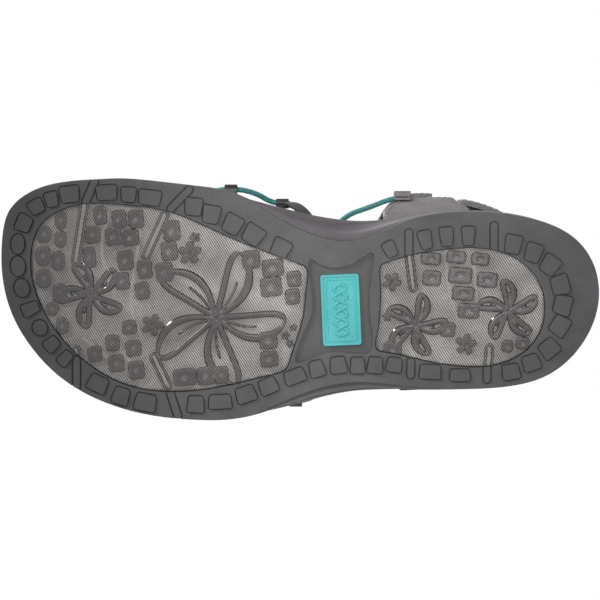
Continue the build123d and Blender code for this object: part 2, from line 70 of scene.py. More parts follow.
class Look:
    """A material or world in the making: add() makes a node and links or sets its inputs."""

    def __init__(self, name, kind=bpy.data.materials):
        self.made = kind.new(name)
        self.made.use_nodes = True
        self.tree = self.made.node_tree
        self.tree.nodes.clear()
        self.coords = self.add("ShaderNodeTexCoord").outputs["Object"]

    def add(self, kind, inputs=None, **props):
        node = self.tree.nodes.new(kind)
        for key, value in props.items():
            setattr(node, key, value)
        for key, value in (inputs or {}).items():
            if isinstance(value, bpy.types.NodeSocket):
                self.tree.links.new(value, node.inputs[key])
            else:
                node.inputs[key].default_value = value
        return node

    def math(self, operation, a, b=0.0):
        return self.add("ShaderNodeMath", {0: a, 1: b}, operation=operation).outputs[0]

    def noise(self, scale, detail=3.0):
        inputs = {"Vector": self.coords, "Scale": scale, "Detail": detail}
        return self.add("ShaderNodeTexNoise", inputs).outputs["Fac"]

    def cells(self, scale):
        inputs = {"Vector": self.coords, "Scale": scale}
        return self.add("ShaderNodeTexVoronoi", inputs, feature="F1").outputs["Distance"]

    def wave(self, pitch_mm, angles=(0, 0, 0), distortion=0.0):
        """Bands across the turned x axis, one every pitch."""
        turned = self.add("ShaderNodeMapping", {"Vector": self.coords, "Rotation": angles})
        inputs = {
            "Vector": turned.outputs[0],
            "Scale": WAVE_SCALE / pitch_mm,
            "Distortion": distortion,
            "Detail": 1.0,
        }
        return self.add("ShaderNodeTexWave", inputs, wave_profile="SIN").outputs["Fac"]

    def ramp(self, fac, stops):
        node = self.add("ShaderNodeValToRGB", {"Fac": fac})
        elements = node.color_ramp.elements
        while len(elements) < len(stops):
            elements.new(0.5)
        for element, (position, colour) in zip(elements, stops):
            element.position = position
            element.color = colour
        return node.outputs["Color"]

    def greys(self, fac, stops):
        """A ramp of greys from (position, value) pairs."""
        return self.ramp(fac, [(at, (v, v, v, 1)) for at, v in stops])

    def times(self, colour, shade, fac=1.0):
        """One colour multiplied by another."""
        node = self.add("ShaderNodeMix", {"Factor": fac}, data_type="RGBA", blend_type="MULTIPLY")
        self.tree.links.new(colour, node.inputs[6])
        self.tree.links.new(shade, node.inputs[7])
        return node.outputs[2]

    def along_foot(self, stops):
        """A grey that changes from toe (0) to heel (1)."""
        y = self.add("ShaderNodeSeparateXYZ", {"Vector": self.coords}).outputs["Y"]
        return self.greys(self.math("ADD", self.math("MULTIPLY", y, 1.0 / FOOT_LENGTH), 0.5), stops)

    def attribute(self, name):
        return self.add("ShaderNodeAttribute", attribute_name=name).outputs["Fac"]

    def bump(self, height, distance_mm, normal=None):
        inputs = {"Height": height, "Distance": distance_mm * MM, "Strength": 1.0}
        if normal is not None:
            inputs["Normal"] = normal
        return self.add("ShaderNodeBump", inputs).outputs["Normal"]

    def finish(self, **inputs):
        shader = self.add("ShaderNodeBsdfPrincipled", inputs)
        self.add("ShaderNodeOutputMaterial", {"Surface": shader.outputs[0]})
        return self.made


def rubber(name, colour, painted_light_by_depth=None, grain=0.02, roughness=0.55, painted_light_along_foot=None):
    """Moulded rubber: cloudy colour, fine matt grain, and, where given, light and shade painted by depth and
    from toe to heel.
    """
    look = Look(name)
    cloud = look.noise(60.0, 4.0)
    base = look.ramp(cloud, [(0.35, shifted(colour, -6)), (0.65, shifted(colour, 5))])
    # Greys by the depth attribute: painted shade in the outsole's hollows; on the midsole a painted highlight
    # on the lip and painted shade up the wall and in the scored line
    if painted_light_by_depth is not None:
        base = look.times(base, look.greys(look.attribute("depth"), painted_light_by_depth))
    # Greys from toe to heel: painted shade where less light falls, on the outsole darkest at the toe and the
    # heel, on the midsole at the waist
    if painted_light_along_foot is not None:
        base = look.times(base, look.along_foot(painted_light_along_foot))
    base = look.times(base, look.greys(look.noise(1400.0, 2.0), [(0.3, 0.86), (0.7, 1.08)]))
    rough = look.math("ADD", look.math("MULTIPLY", look.noise(220.0), 0.25), roughness - 0.12)
    normal = look.bump(look.noise(2600.0, 2.0), grain)
    return look.finish(**{"Base Color": base, "Roughness": rough, "Normal": normal})


def woven(name, dark, light, pitch, angles=(0, 0, 0), depth=0.08, cross=1.0, sheen=0.25):
    """A weave of two crossing sets of yarns."""
    look = Look(name)
    warp = look.wave(pitch, angles)
    weft = look.wave(pitch * cross, (angles[0], angles[1], angles[2] + math.pi / 2))
    height = look.math("MULTIPLY", warp, weft)
    height = look.math("ADD", height, look.math("MULTIPLY", look.noise(1500.0, 2.0), 0.25))
    colour = look.ramp(height, [(0.1, srgb(*dark)), (0.8, srgb(*light))])
    colour = look.times(colour, look.greys(look.noise(45.0), [(0.3, 0.88), (0.7, 1.06)]))
    normal = look.bump(height, depth)
    return look.finish(**{"Base Color": colour, "Roughness": 0.85, "Normal": normal, "Sheen Weight": sheen})


def synthetic(name, colour):
    """Smooth coated synthetic with a fine pebble grain."""
    look = Look(name)
    pebble = look.cells(900.0)
    cloud = look.noise(70.0, 4.0)
    base = look.ramp(cloud, [(0.35, shifted(colour, -7)), (0.65, shifted(colour, 6))])
    base = look.times(base, look.greys(pebble, [(0.1, 1.05), (0.7, 0.86)]))
    rough = look.math("ADD", look.math("MULTIPLY", look.noise(300.0), 0.2), 0.42)
    normal = look.bump(pebble, 0.05, normal=look.bump(look.noise(120.0), 0.15))
    return look.finish(**{"Base Color": base, "Roughness": rough, "Normal": normal})


def ribbed_cloth():
    """The lining behind the windows: fine diagonal ribs in grey and silver yarn."""
    look = Look("ribbed_cloth")
    angles = (0, 0, math.radians(-58))
    rib = look.wave(0.92, angles, distortion=0.6)
    yarn = look.noise(900.0, 2.0)
    height = look.math("ADD", look.math("MULTIPLY", rib, 0.8), look.math("MULTIPLY", yarn, 0.35))
    colour = look.ramp(
        height, [(0.15, srgb(70, 65, 64)), (0.5, srgb(128, 123, 120)), (0.9, srgb(196, 193, 190))]
    )
    # Large clouds at random, from 0.55 to 1.2 times the colour: painted shadow and light over the cloth
    colour = look.times(colour, look.greys(look.noise(46.0), [(0.32, 0.55), (0.68, 1.2)]))
    # Painted light from toe to heel: painted shade towards the toe and a painted highlight around the middle
    # of the foot
    painted_light_along_foot = [(0.05, 0.62), (0.22, 0.84), (0.4, 1.3), (0.5, 1.45), (0.62, 1.1), (0.95, 1.06)]
    colour = look.times(colour, look.along_foot(painted_light_along_foot))
    return look.finish(
        **{"Base Color": colour, "Roughness": 0.6, "Normal": look.bump(height, 0.14), "Sheen Weight": 0.3}
    )


def clear_rubber():
    """Smoky clear rubber, with a painted highlight at the foot of its relief and painted shade where the
    relief turns edge-on, paler on the flats.
    """
    look = Look("clear_rubber")
    relief = look.attribute("relief")
    cloud = look.math("MULTIPLY", look.noise(240.0), 0.1)
    thick = look.math("ADD", relief, look.math("SUBTRACT", cloud, 0.05))
    # Both ramps paint light: the pale band just above the flats is a painted highlight, and the near-black
    # band up each raised shape's slopes is painted shade
    alpha = look.greys(
        thick, [(0.0, 0.06), (0.07, 0.3), (0.16, 0.2), (0.3, 0.92), (0.6, 0.9), (0.76, 0.42), (0.9, 0.58)]
    )
    tones = [
        (0.0, (150, 147, 144)), (0.07, (206, 203, 200)), (0.16, (150, 146, 144)), (0.3, (26, 24, 24)),
        (0.6, (30, 28, 28)), (0.76, (124, 121, 119)), (0.9, (88, 85, 85)),
    ]
    colour = look.ramp(thick, [(at, srgb(*tone)) for at, tone in tones])
    normal = look.bump(look.noise(420.0, 2.0), 0.04)
    return look.finish(
        **{"Base Color": colour, "Alpha": alpha, "Roughness": 0.16, "Normal": normal, "IOR": 1.5}
    )


def cord_look():
    """Braided elastic cord: two crossing spirals of teal yarn with dark flecks."""
    look = Look("cord_elastic")
    uv = look.add("ShaderNodeTexCoord").outputs["UV"]
    parts = look.add("ShaderNodeSeparateXYZ", {"Vector": uv})
    along, round_ = parts.outputs["X"], parts.outputs["Y"]
    spirals = []
    for sign in (1, -1):
        around = look.math("MULTIPLY", round_, 6.0 * sign)
        turn = look.math("ADD", look.math("MULTIPLY", along, 200.0), around)
        spirals.append(look.math("ABSOLUTE", look.math("SINE", look.math("MULTIPLY", turn, math.pi))))
    height = look.math("MINIMUM", *spirals)
    colour = look.ramp(
        height, [(0.05, srgb(28, 92, 92)), (0.4, srgb(52, 140, 138)), (0.9, srgb(84, 176, 172))]
    )
    fleck = look.ramp(look.noise(900.0, 1.0), [(0.42, (0.55, 0.6, 0.6, 1)), (0.5, (1, 1, 1, 1))])
    colour = look.times(colour, fleck, 0.6)
    return look.finish(
        **{"Base Color": colour, "Roughness": 0.62, "Normal": look.bump(height, 0.12), "Sheen Weight": 0.3}
    )


def thread(name, colour):
    """Twisted sewing thread."""
    look = Look(name)
    twist = look.wave(0.5, (0.4, 0.3, 0.7))
    base = look.ramp(twist, [(0.2, srgb(*[c * 0.72 for c in colour])), (0.8, srgb(*colour))])
    return look.finish(**{"Base Color": base, "Roughness": 0.6, "Normal": look.bump(twist, 0.05)})


def pile(name, colour, scale):
    """Hook or loop tape: dense short pile."""
    look = Look(name)
    tuft = look.cells(scale)
    base = look.ramp(tuft, [(0.1, shifted(colour, 26)), (0.6, srgb(*[c * 0.5 for c in colour]))])
    normal = look.bump(tuft, 0.3)
    return look.finish(**{"Base Color": base, "Roughness": 0.95, "Normal": normal, "Sheen Weight": 0.3})


# Greys painted into the rubbers' colour, in order below: painted shade in the outsole's hollows, by height
# over the ground face;
# painted shade from toe to heel along the midsole, darkest at the waist; painted shade from toe to heel along
# the outsole, darkest at the toe and the heel;
# a painted highlight on the midsole's lip, with painted shade up its wall and in its scored line.
PAINTED_HOLLOW_SHADE = [(0.0, 0.93), (0.37, 1.0), (0.5, 0.5), (0.58, 0.5), (0.68, 0.72), (0.86, 0.92)]
SHADE = [(0.0, 1.0), (0.35, 0.9), (0.5, 0.74), (0.6, 0.78), (0.74, 1.06), (1.0, 1.05)]
PAINTED_OUTSOLE_SHADE = [(0.0, 0.46), (0.12, 0.56), (0.3, 0.78), (0.42, 0.92), (0.56, 1.0), (0.72, 0.74), (1.0, 0.7)]
PAINTED_LIP_HIGHLIGHT_AND_SHADE = [(0.0, 1.1), (0.07, 1.3), (0.16, 1.06), (0.35, 0.94), (0.56, 0.72), (0.62, 0.98)]
LOOKS = {
    "outsole_rubber": rubber("outsole_rubber", (92, 91, 91), PAINTED_HOLLOW_SHADE, painted_light_along_foot=PAINTED_OUTSOLE_SHADE),
    "midsole_foam": rubber("midsole_foam", (113, 108, 113), PAINTED_LIP_HIGHLIGHT_AND_SHADE, grain=0.05, roughness=0.62, painted_light_along_foot=SHADE),
    "badge_rubber": rubber("badge_rubber", (82, 188, 190), roughness=0.5),
    "clear_rubber": clear_rubber(),
    "ribbed_cloth": ribbed_cloth(),
    "lasting_board": woven("lasting_board", (96, 92, 90), (132, 128, 124), 0.7),
    "footbed_foam": rubber("footbed_foam", (62, 58, 60), grain=0.12, roughness=0.85),
    "cover_cloth": woven("cover_cloth", (50, 47, 49), (96, 92, 94), 0.8, (0, 0, 0.78), 0.08),
    "strap_synthetic": synthetic("strap_synthetic", (134, 130, 131)),
    "lining_cloth": woven("lining_cloth", (46, 42, 41), (84, 78, 76), 0.7, (0.3, 0.3, 0.5), 0.06),
    "webbing": woven("webbing", (28, 26, 27), (64, 60, 62), 1.1, (0, math.pi / 2, 0), 0.14, 0.55, sheen=0.08),
    "cord_elastic": cord_look(),
    "hook_loop": pile("hook_loop", (44, 42, 44), 1300.0),
    "ring_plastic": rubber("ring_plastic", (58, 56, 57), grain=0.01, roughness=0.35),
    "thread_grey": thread("thread_grey", (150, 146, 147)),
    "thread_dark": thread("thread_dark", (52, 50, 52)),
    "thread_teal": thread("thread_teal", (70, 168, 166)),
}


# ---- Mesh makers ----
def placed(name, data):
    obj = bpy.data.objects.new(name, data)
    scene.collection.objects.link(obj)
    return obj


def as_mesh(name, points, faces, look, sharp=None):
    """A new smooth-shaded object from points in millimetres."""
    mesh = bpy.data.meshes.new(name)
    mesh.from_pydata((np.asarray(points) * MM).tolist(), [], faces)
    mesh.validate()
    obj = placed(name, mesh)
    mesh.materials.append(LOOKS[look])
    mesh.shade_smooth()
    if sharp:
        mesh.set_sharp_from_angle(angle=math.radians(sharp))
    return obj


def note(obj, name, values):
    """Stores one number per point, for a material to read."""
    layer = obj.data.attributes.new(name, "FLOAT", "POINT")
    layer.data.foreach_set("value", values.astype(np.float32))


def tube_faces(rows, around):
    """The quads of a tube whose points come row by row."""
    faces = []
    for i in range(0, (rows - 1) * around, around):
        for j in range(around):
            k = (j + 1) % around
            faces.append((i + j, i + k, i + around + k, i + around + j))
    return faces


def face_out(obj):
    """Turns all normals outwards."""
    made = bmesh.new()
    made.from_mesh(obj.data)
    bmesh.ops.recalc_face_normals(made, faces=made.faces)
    made.to_mesh(obj.data)
    made.free()
    return obj


def add(obj, body, slot, *stands_for):
    """The piece rides on its CAD body and hides the nodes it stands for; its finish, slot, is not used."""
    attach(obj, body)
    if stands_for:
        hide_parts(*stands_for)
    return obj


def closed_spline(points, count):
    """Points spaced evenly in parameter on the periodic cubic through the given ones."""
    p = np.array(points, float)
    n = len(p)
    h = np.linalg.norm(np.roll(p, -1, 0) - p, axis=1)
    slopes = (np.roll(p, -1, 0) - p) / h[:, None]
    system = np.zeros((n, n))
    right = np.zeros((n, 2))
    for i in range(n):
        before, here = h[i - 1], h[i]
        system[i, i - 1] += here
        system[i, i] += 2 * (before + here)
        system[i, (i + 1) % n] += before
        right[i] = 3 * (here * slopes[i - 1] + before * slopes[i])
    tangents = np.linalg.solve(system, right)
    made = []
    for q in np.arange(count) * n / count:
        i = int(q)
        t, step, j = q - i, h[i], (i + 1) % n
        a = (1 + 2 * t) * (1 - t) ** 2 * p[i] + t * (1 - t) ** 2 * step * tangents[i]
        made.append(a + t * t * (3 - 2 * t) * p[j] + t * t * (t - 1) * step * tangents[j])
    return np.array(made)


def inwards(loop, distance):
    """A loop moved towards its inside."""
    tangent = np.roll(loop, -1, 0) - np.roll(loop, 1, 0)
    tangent /= np.linalg.norm(tangent, axis=1)[:, None]
    after = np.roll(loop, -1, 0)
    area = np.sum(loop[:, 0] * after[:, 1] - after[:, 0] * loop[:, 1])
    normal = np.stack([-tangent[:, 1], tangent[:, 0]], 1) * (1 if area > 0 else -1)
    return loop + normal * distance


def to_outline(points, loop):
    """For each point: nearest outline point, distance to it, and whether it is inside."""
    a, b = loop, np.roll(loop, -1, 0)
    side = b - a
    long2 = np.maximum((side**2).sum(1), 1e-12)
    near, far, inside = [], [], []
    for start in range(0, len(points), 4000):
        p = points[start : start + 4000, None, :]
        t = np.clip(((p - a) * side).sum(2) / long2, 0, 1)
        on = a + t[..., None] * side
        d2 = ((p - on) ** 2).sum(2)
        best = d2.argmin(1)
        rows = np.arange(len(best))
        near.append(on[rows, best])
        far.append(np.sqrt(d2[rows, best]))
        cross = (a[:, 1] > p[..., 1]) != (b[:, 1] > p[..., 1])
        rise = np.where(np.abs(side[:, 1]) < 1e-12, 1e-12, side[:, 1])
        at = a[:, 0] + (p[..., 1] - a[:, 1]) / rise * side[:, 0]
        inside.append((cross & (p[..., 0] < at)).sum(1) % 2 == 1)
    return np.concatenate(near), np.concatenate(far), np.concatenate(inside)


def plate(name, outline, pitch, place, top, bottom, look, closed=True, sharp=None, relief=None):
    """A thin body over an outline in (u, v): a fine grid at top(u, v, d) and walls down to bottom(u, v, d),
    where d is the distance from the outline. place(u, v, w) gives the point in the row frame."""
    low, high = outline.min(0) - pitch, outline.max(0) + pitch
    us, vs = np.arange(low[0], high[0] + pitch, pitch), np.arange(low[1], high[1] + pitch, pitch)
    grid = np.stack([g.ravel() for g in np.meshgrid(us, vs, indexing="ij")], 1)
    near, away, inside = to_outline(grid, outline)
    index = np.arange(len(grid)).reshape(len(us), len(vs))
    cells = np.stack([index[:-1, :-1], index[1:, :-1], index[1:, 1:], index[:-1, 1:]], -1).reshape(-1, 4)
    cells = cells[inside[cells].any(1)]
    used = np.unique(cells)
    order = np.zeros(len(grid), int)
    order[used] = np.arange(len(used))
    cells = order[cells]
    grid[~inside] = near[~inside]
    away[~inside] = 0
    u, v, d, n = grid[used, 0], grid[used, 1], away[used], len(used)
    edges = np.concatenate([cells[:, [i, (i + 1) % 4]] for i in range(4)])
    keys = np.sort(edges, 1)
    _, first, counts = np.unique(keys, axis=0, return_index=True, return_counts=True)
    rim = edges[first[counts == 1]]
    upper = place(u, v, top(u, v, d))
    if closed:
        lower = place(u, v, bottom(u, v, d))
        under = rim + n
        faces = [*cells.tolist(), *(cells[:, ::-1] + n).tolist()]
    else:
        rim_points = np.unique(rim)
        order = np.zeros(n, int)
        order[rim_points] = np.arange(len(rim_points)) + n
        ru, rv = u[rim_points], v[rim_points]
        lower = place(ru, rv, bottom(ru, rv, d[rim_points]))
        under = order[rim]
        faces = cells.tolist()
    faces += np.stack([rim[:, 1], rim[:, 0], under[:, 0], under[:, 1]], 1).tolist()
    obj = as_mesh(name, np.concatenate([upper, lower]), faces, look, sharp=sharp)
    if relief is not None:
        note(obj, "relief", np.concatenate([relief(u, v), np.zeros(len(lower))]))
    return obj


def section(width, low, high, r=0.5, crown=0.0, across=9):
    """A closed strap section of (across, lift) points with round edges and a crowned face."""
    half, points = width / 2, []
    r = min(r, (high - low) / 2)

    def round_end(angles, side):
        for t in angles:
            c, s = math.cos(math.radians(t)), math.sin(math.radians(t))
            middle = high - r if t > 0 else low + r if t < 0 else (low + high) / 2
            points.append((side * (half - r + r * c), middle + r * s))

    for s in np.linspace(-1, 1, across):
        points.append((s * (half - r), high + crown * (1 - s * s)))
    round_end((60, 30, 0, -30, -60), 1)
    for s in np.linspace(1, -1, across):
        points.append((s * (half - r), low))
    round_end((-60, -30, 0, 30, 60), -1)
    return np.array(points)


def path_normals(path):
    """Right-hand normals of an open path: outwards for one that runs from the medial side over the foot."""
    tangent = np.gradient(path, axis=0)
    tangent /= np.maximum(np.linalg.norm(tangent, axis=1), 1e-9)[:, None]
    return np.stack([tangent[:, 1], -tangent[:, 0]], 1)


def ribbon(name, path, shape, place, look, widths=None):
    """A strap section swept along a path in a plane. place(a, b, across) gives the row frame's point."""
    normal = path_normals(path)
    stations, rings = len(path), []
    for i in range(stations):
        wide = 1.0 if widths is None else widths[i]
        flat = path[i] + shape[:, 1:2] * normal[i]
        rings.append(place(flat[:, 0], flat[:, 1], shape[:, 0] * wide))
    m = len(shape)
    faces = tube_faces(stations, m)
    faces += [tuple(range(m)), tuple(range(m * stations - 1, m * (stations - 1) - 1, -1))]
    return face_out(as_mesh(name, np.concatenate(rings), faces, look, sharp=40))


# A stitch's rings: share of its length, share of its radius, and lift
STITCH = ((0, 0.45, -0.16), (0.15, 0.9, 0.04), (0.5, 1.05, 0.1), (0.85, 0.9, 0.04), (1, 0.45, -0.16))
STITCH_QUADS = tube_faces(len(STITCH), 6)


def along_run(q, run, rows):
    return np.array([np.interp(q, run, rows[:, k]) for k in range(3)])


def stitches(name, lines, look, length=2.1, gap=1.0, radius=0.22):
    """Sewn thread: one small tapered bar per stitch along each (points, normals) line."""
    points, faces = [], []
    for line, normals in lines:
        run = np.concatenate([[0], np.cumsum(np.linalg.norm(np.diff(line, axis=0), axis=1))])
        for start in np.arange(0.4, run[-1] - length, length + gap):
            first = along_run(start, run, line)
            up = along_run(start + length / 2, run, normals)
            along = along_run(start + length, run, line) - first
            size = np.linalg.norm(along)
            along /= size
            up = up - along * (up @ along)
            up /= np.linalg.norm(up)
            side = np.cross(along, up)
            base = len(points)
            for t, r, lift in STITCH:
                middle = first + along * size * t + up * lift
                for k in range(6):
                    a = k * math.pi / 3
                    points.append(middle + radius * r * (math.cos(a) * side + math.sin(a) * up))
            faces += [tuple(base + i for i in quad) for quad in STITCH_QUADS]
            faces += [tuple(base + 5 - k for k in range(6)), tuple(base + 24 + k for k in range(6))]
    return as_mesh(name, np.array(points), faces, look)


def strap(name, path, shape, place, look, body="sandal", widths=None):
    """A ribbon that stands for the CAD node of its own name."""
    add(ribbon(name, path, shape, place, look, widths), body, look, name)


def sew(name, lines, look="thread_grey", *sizes):
    """Stitches that ride with the sole."""
    add(stitches(name, lines, look, *sizes), "sandal", None)


def line_on(place, us, vs, w):
    """A line on a placed surface with its normals, for stitches."""
    w = np.full(len(us), float(w))
    here = place(us, vs, w)
    above = place(us, vs, w + 0.5)
    return here, (above - here) / 0.5


def from_cad(name, node, look, bevel, dissolve=2.0):
    """A copy of a CAD node's mesh with its edges rounded."""
    mesh = NODES[node].data.copy()
    mesh.name = name
    made = bmesh.new()
    made.from_mesh(mesh)
    bmesh.ops.remove_doubles(made, verts=made.verts, dist=0.00001)
    bmesh.ops.dissolve_limit(
        made, angle_limit=math.radians(dissolve), verts=made.verts, edges=made.edges
    )
    made.to_mesh(mesh)
    made.free()
    obj = placed(name, mesh)
    mesh.materials.clear()
    mesh.materials.append(LOOKS[look])
    mesh.shade_smooth()
    if bevel:
        edge = obj.modifiers.new("edges", "BEVEL")
        edge.width = bevel * MM
        edge.segments = 2
        edge.limit_method = "ANGLE"
        edge.angle_limit = math.radians(32)
        level = obj.modifiers.new("normals", "WEIGHTED_NORMAL")
        level.keep_sharp = True
    return obj


# ---- Sole ----
TOE_START, TOE_R, HEEL_START, HEEL_R = -60.0, 374.0, 100.0, 206.0


def ground(y, rise):
    """Height of the line that lies a given distance inside the sole's lower surface."""
    y = np.asarray(y, float)
    toe = np.minimum(y - TOE_START, 0)
    heel = np.maximum(y - HEEL_START, 0)
    at_toe = TOE_R - np.sqrt((TOE_R - rise) ** 2 - toe**2)
    at_heel = HEEL_R - np.sqrt((HEEL_R - rise) ** 2 - heel**2)
    return at_toe + at_heel - rise


def flat(u, v, w):
    return np.stack([u, v, w], -1)


def outline_of(node):
    """The plan outline of an upright-walled CAD node, in order round its middle."""
    mesh = NODES[node].data
    found = set()
    for face in mesh.polygons:
        if abs(face.normal.z) < 0.2:
            for i in face.vertices:
                co = mesh.vertices[i].co
                found.add((round(co.x / MM, 3), round(co.y / MM, 3)))
    loop = np.array(sorted(found))
    middle = (loop.min(0) + loop.max(0)) / 2
    return loop[np.argsort(np.arctan2(loop[:, 1] - middle[1], loop[:, 0] - middle[0]))]


outsole = from_cad("outsole_rubber", "outsole", "outsole_rubber", bevel=0.22, dissolve=1.2)
co = np.array([v.co for v in outsole.data.vertices]) / MM
# Height over the ground face; the material turns it into painted shade in the hollows
note(outsole, "depth", np.clip((co[:, 2] - ground(co[:, 1], 0)) / 3.0, 0, 1))
add(outsole, "sandal", "outsole_rubber", "outsole")


# Relief of the clear windows: each maker gives a function from (u, v) to a share of the full height
def block(x, y, long_x, long_y, turn=0.0, r=1.7):
    """A rounded pad with a dimple in its middle."""

    def height(u, v):
        c, s = math.cos(math.radians(turn)), math.sin(math.radians(turn))
        a, b = (u - x) * c + (v - y) * s, (v - y) * c - (u - x) * s
        qa, qb = np.abs(a) - long_x / 2 + r, np.abs(b) - long_y / 2 + r
        away = np.hypot(np.maximum(qa, 0), np.maximum(qb, 0)) + np.minimum(np.maximum(qa, qb), 0) - r
        pad = step(-away / 0.55)
        return pad * (1.0 - 0.24 * step(1.3 - np.hypot(a / long_x, b / long_y) * 5.2))

    return height


def step(t):
    t = np.clip(t, 0, 1)
    return t * t * (3 - 2 * t)


def petal(x, y, direction, long, wide, bend=0.0):
    """A pointed petal with a broad raised edge, a low floor and a midrib."""

    def height(u, v):
        c, s = math.cos(math.radians(direction)), math.sin(math.radians(direction))
        a, b = ((u - x) * c + (v - y) * s) / long, (v - y) * c - (u - x) * s
        t = np.clip(a, 0.0, 1.0)
        b = b - bend * np.sin(math.pi * t)
        half = wide * 1.75 * t**0.8 * np.sqrt(1.0 - t)
        away = np.abs(b) - half
        on = step(a / 0.03) * step((1.02 - a) / 0.04)
        width = 1.15 + 0.95 * step(b / wide)
        edge = step(1.5 - np.abs(away + width) / width) * on
        rib = 0.75 * step(1.6 - np.abs(b) / 0.42) * step((0.62 - a) / 0.1) * on * step(-away)
        return np.maximum(edge, rib)

    return height


def blossom(x, y, long, wide, first, bend):
    """Five equal petals round a centre."""
    made = [petal(x, y, first + k * 72, long, wide, bend) for k in range(5)]
    return lambda u, v: np.max([p(u, v) for p in made], axis=0)


def floret(x, y, size, first=0.0):
    """A small five-lobed flower with a hole in its middle."""

    def height(u, v):
        a, b = u - x, v - y
        lobes = np.abs(np.cos(2.5 * (np.arctan2(b, a) - math.radians(first))))
        r = np.hypot(a, b)
        return step((size * (0.3 + 0.7 * lobes**0.6) - r) / 0.5) * step((r - 0.35) / 0.4)

    return height


CHANNEL_WIDE, CONTOUR_WIDE = 3.0, 0.55


def channel(x0, y0, x1, y1):
    """A round-ended bar outlined by a thin ridge."""

    def height(u, v):
        span = np.array([x1 - x0, y1 - y0])
        along = np.clip(((u - x0) * span[0] + (v - y0) * span[1]) / (span @ span), 0, 1)
        away = np.hypot(u - x0 - along * span[0], v - y0 - along * span[1])
        from_edge = away - CHANNEL_WIDE / 2
        ridge = 0.85 * step(1.5 - np.abs(from_edge) / 0.5)
        return np.maximum(ridge, 0.09 * step(-from_edge / 0.4))

    return height


def contour(points):
    """A low flowing ridge through a few points."""
    line = np.array(points, float)
    for _ in range(3):
        other = np.stack([line[1:], line[:-1]], 1).reshape(-1, 2)
        line = np.concatenate([line[:1], np.repeat(line, 2, 0)[1:-1] * 0.75 + other * 0.25, line[-1:]])

    def height(u, v):
        best = np.full(len(u), 9.0)
        for (x0, y0), (x1, y1) in zip(line[:-1], line[1:]):
            span = (x1 - x0) ** 2 + (y1 - y0) ** 2 + 1e-9
            t = np.clip(((u - x0) * (x1 - x0) + (v - y0) * (y1 - y0)) / span, 0, 1)
            best = np.minimum(best, np.hypot(u - x0 - t * (x1 - x0), v - y0 - t * (y1 - y0)))
        return 0.12 * step(1.4 - best / CONTOUR_WIDE)

    return height


TOE_PADS = [
    (28.7, -113.2, 7.1, 6.0), (19.2, -113.6, 8.2, 6.3), (9.2, -113.3, 8.2, 6.2), (35.1, -105.6, 8.2, 4.6),
    (26.7, -105.7, 7.3, 4.8), (17.2, -106.9, 8.4, 5.3), (2.8, -106.3, 8.2, 5.7), (-4.2, -109.6, 5.7, 5.3),
    (-11.7, -105.2, 7.3, 5.3),
]
FOREFOOT_PADS = [
    (37.3, -88.2, 7.6, 5.2), (35.7, -79.8, 7.6, 5.7), (35.7, -72.3, 7.6, 6.2), (28.7, -91.6, 7.1, 6),
    (28, -82.4, 7.3, 6.4), (27.5, -74.7, 6.6, 6.6), (18.7, -93, 8.6, 5), (17.5, -77.1, 8.2, 6.2),
    (8.3, -78.5, 7.1, 5.7), (13.6, -68.5, 7.9, 5.8), (3.9, -69.6, 7.1, 5.7), (30.6, -56.6, 8.4, 6.8),
    (21.6, -57.7, 7.9, 6.6), (12.3, -59.8, 7.9, 6.8), (-24.1, -90.8, 6.6, 5.7), (-19.2, -82.9, 6.6, 5.7),
    (-12.2, -75.4, 5.7, 5.7), (-28.3, -81.2, 7.1, 6.4), (-21.5, -73.6, 6.6, 6.4), (-31.2, -72.3, 7.5, 6.4),
    (-34.3, -50.9, 7.1, 9.6), (-33.8, -41.6, 7.5, 7.1), (-33.4, -34.7, 7.2, 5.6), (17.8, -21.6, 7.5, 7.3),
    (14.1, -12, 7.1, 8.8), (5.7, -12.7, 7.9, 8.8), (9.2, -2.6, 6.4, 5.6), (1.4, -3.2, 6.4, 5.8),
    (-18, -14, 7.3, 7.3), (-26.3, -13.6, 6.6, 7.3),
]
HEEL_PADS = [
    (9.6, 58.2, 6.2, 7.6), (18.2, 57.8, 4.9, 8.2), (10.8, 70.8, 6.6, 9.8), (2.8, 72.1, 5.7, 9.3),
    (-4.9, 74.5, 6.2, 8.8), (8.8, 82.7, 6.2, 8.4), (-13.2, 65.4, 6, 5.9), (-20.6, 91.7, 4.9, 4.4),
    (-19.2, 98.3, 4.9, 5.6), (-22.2, 40.9, 6.2, 7.6), (18.9, 69, 5, 8), (18, 79.6, 5, 7.4),
]
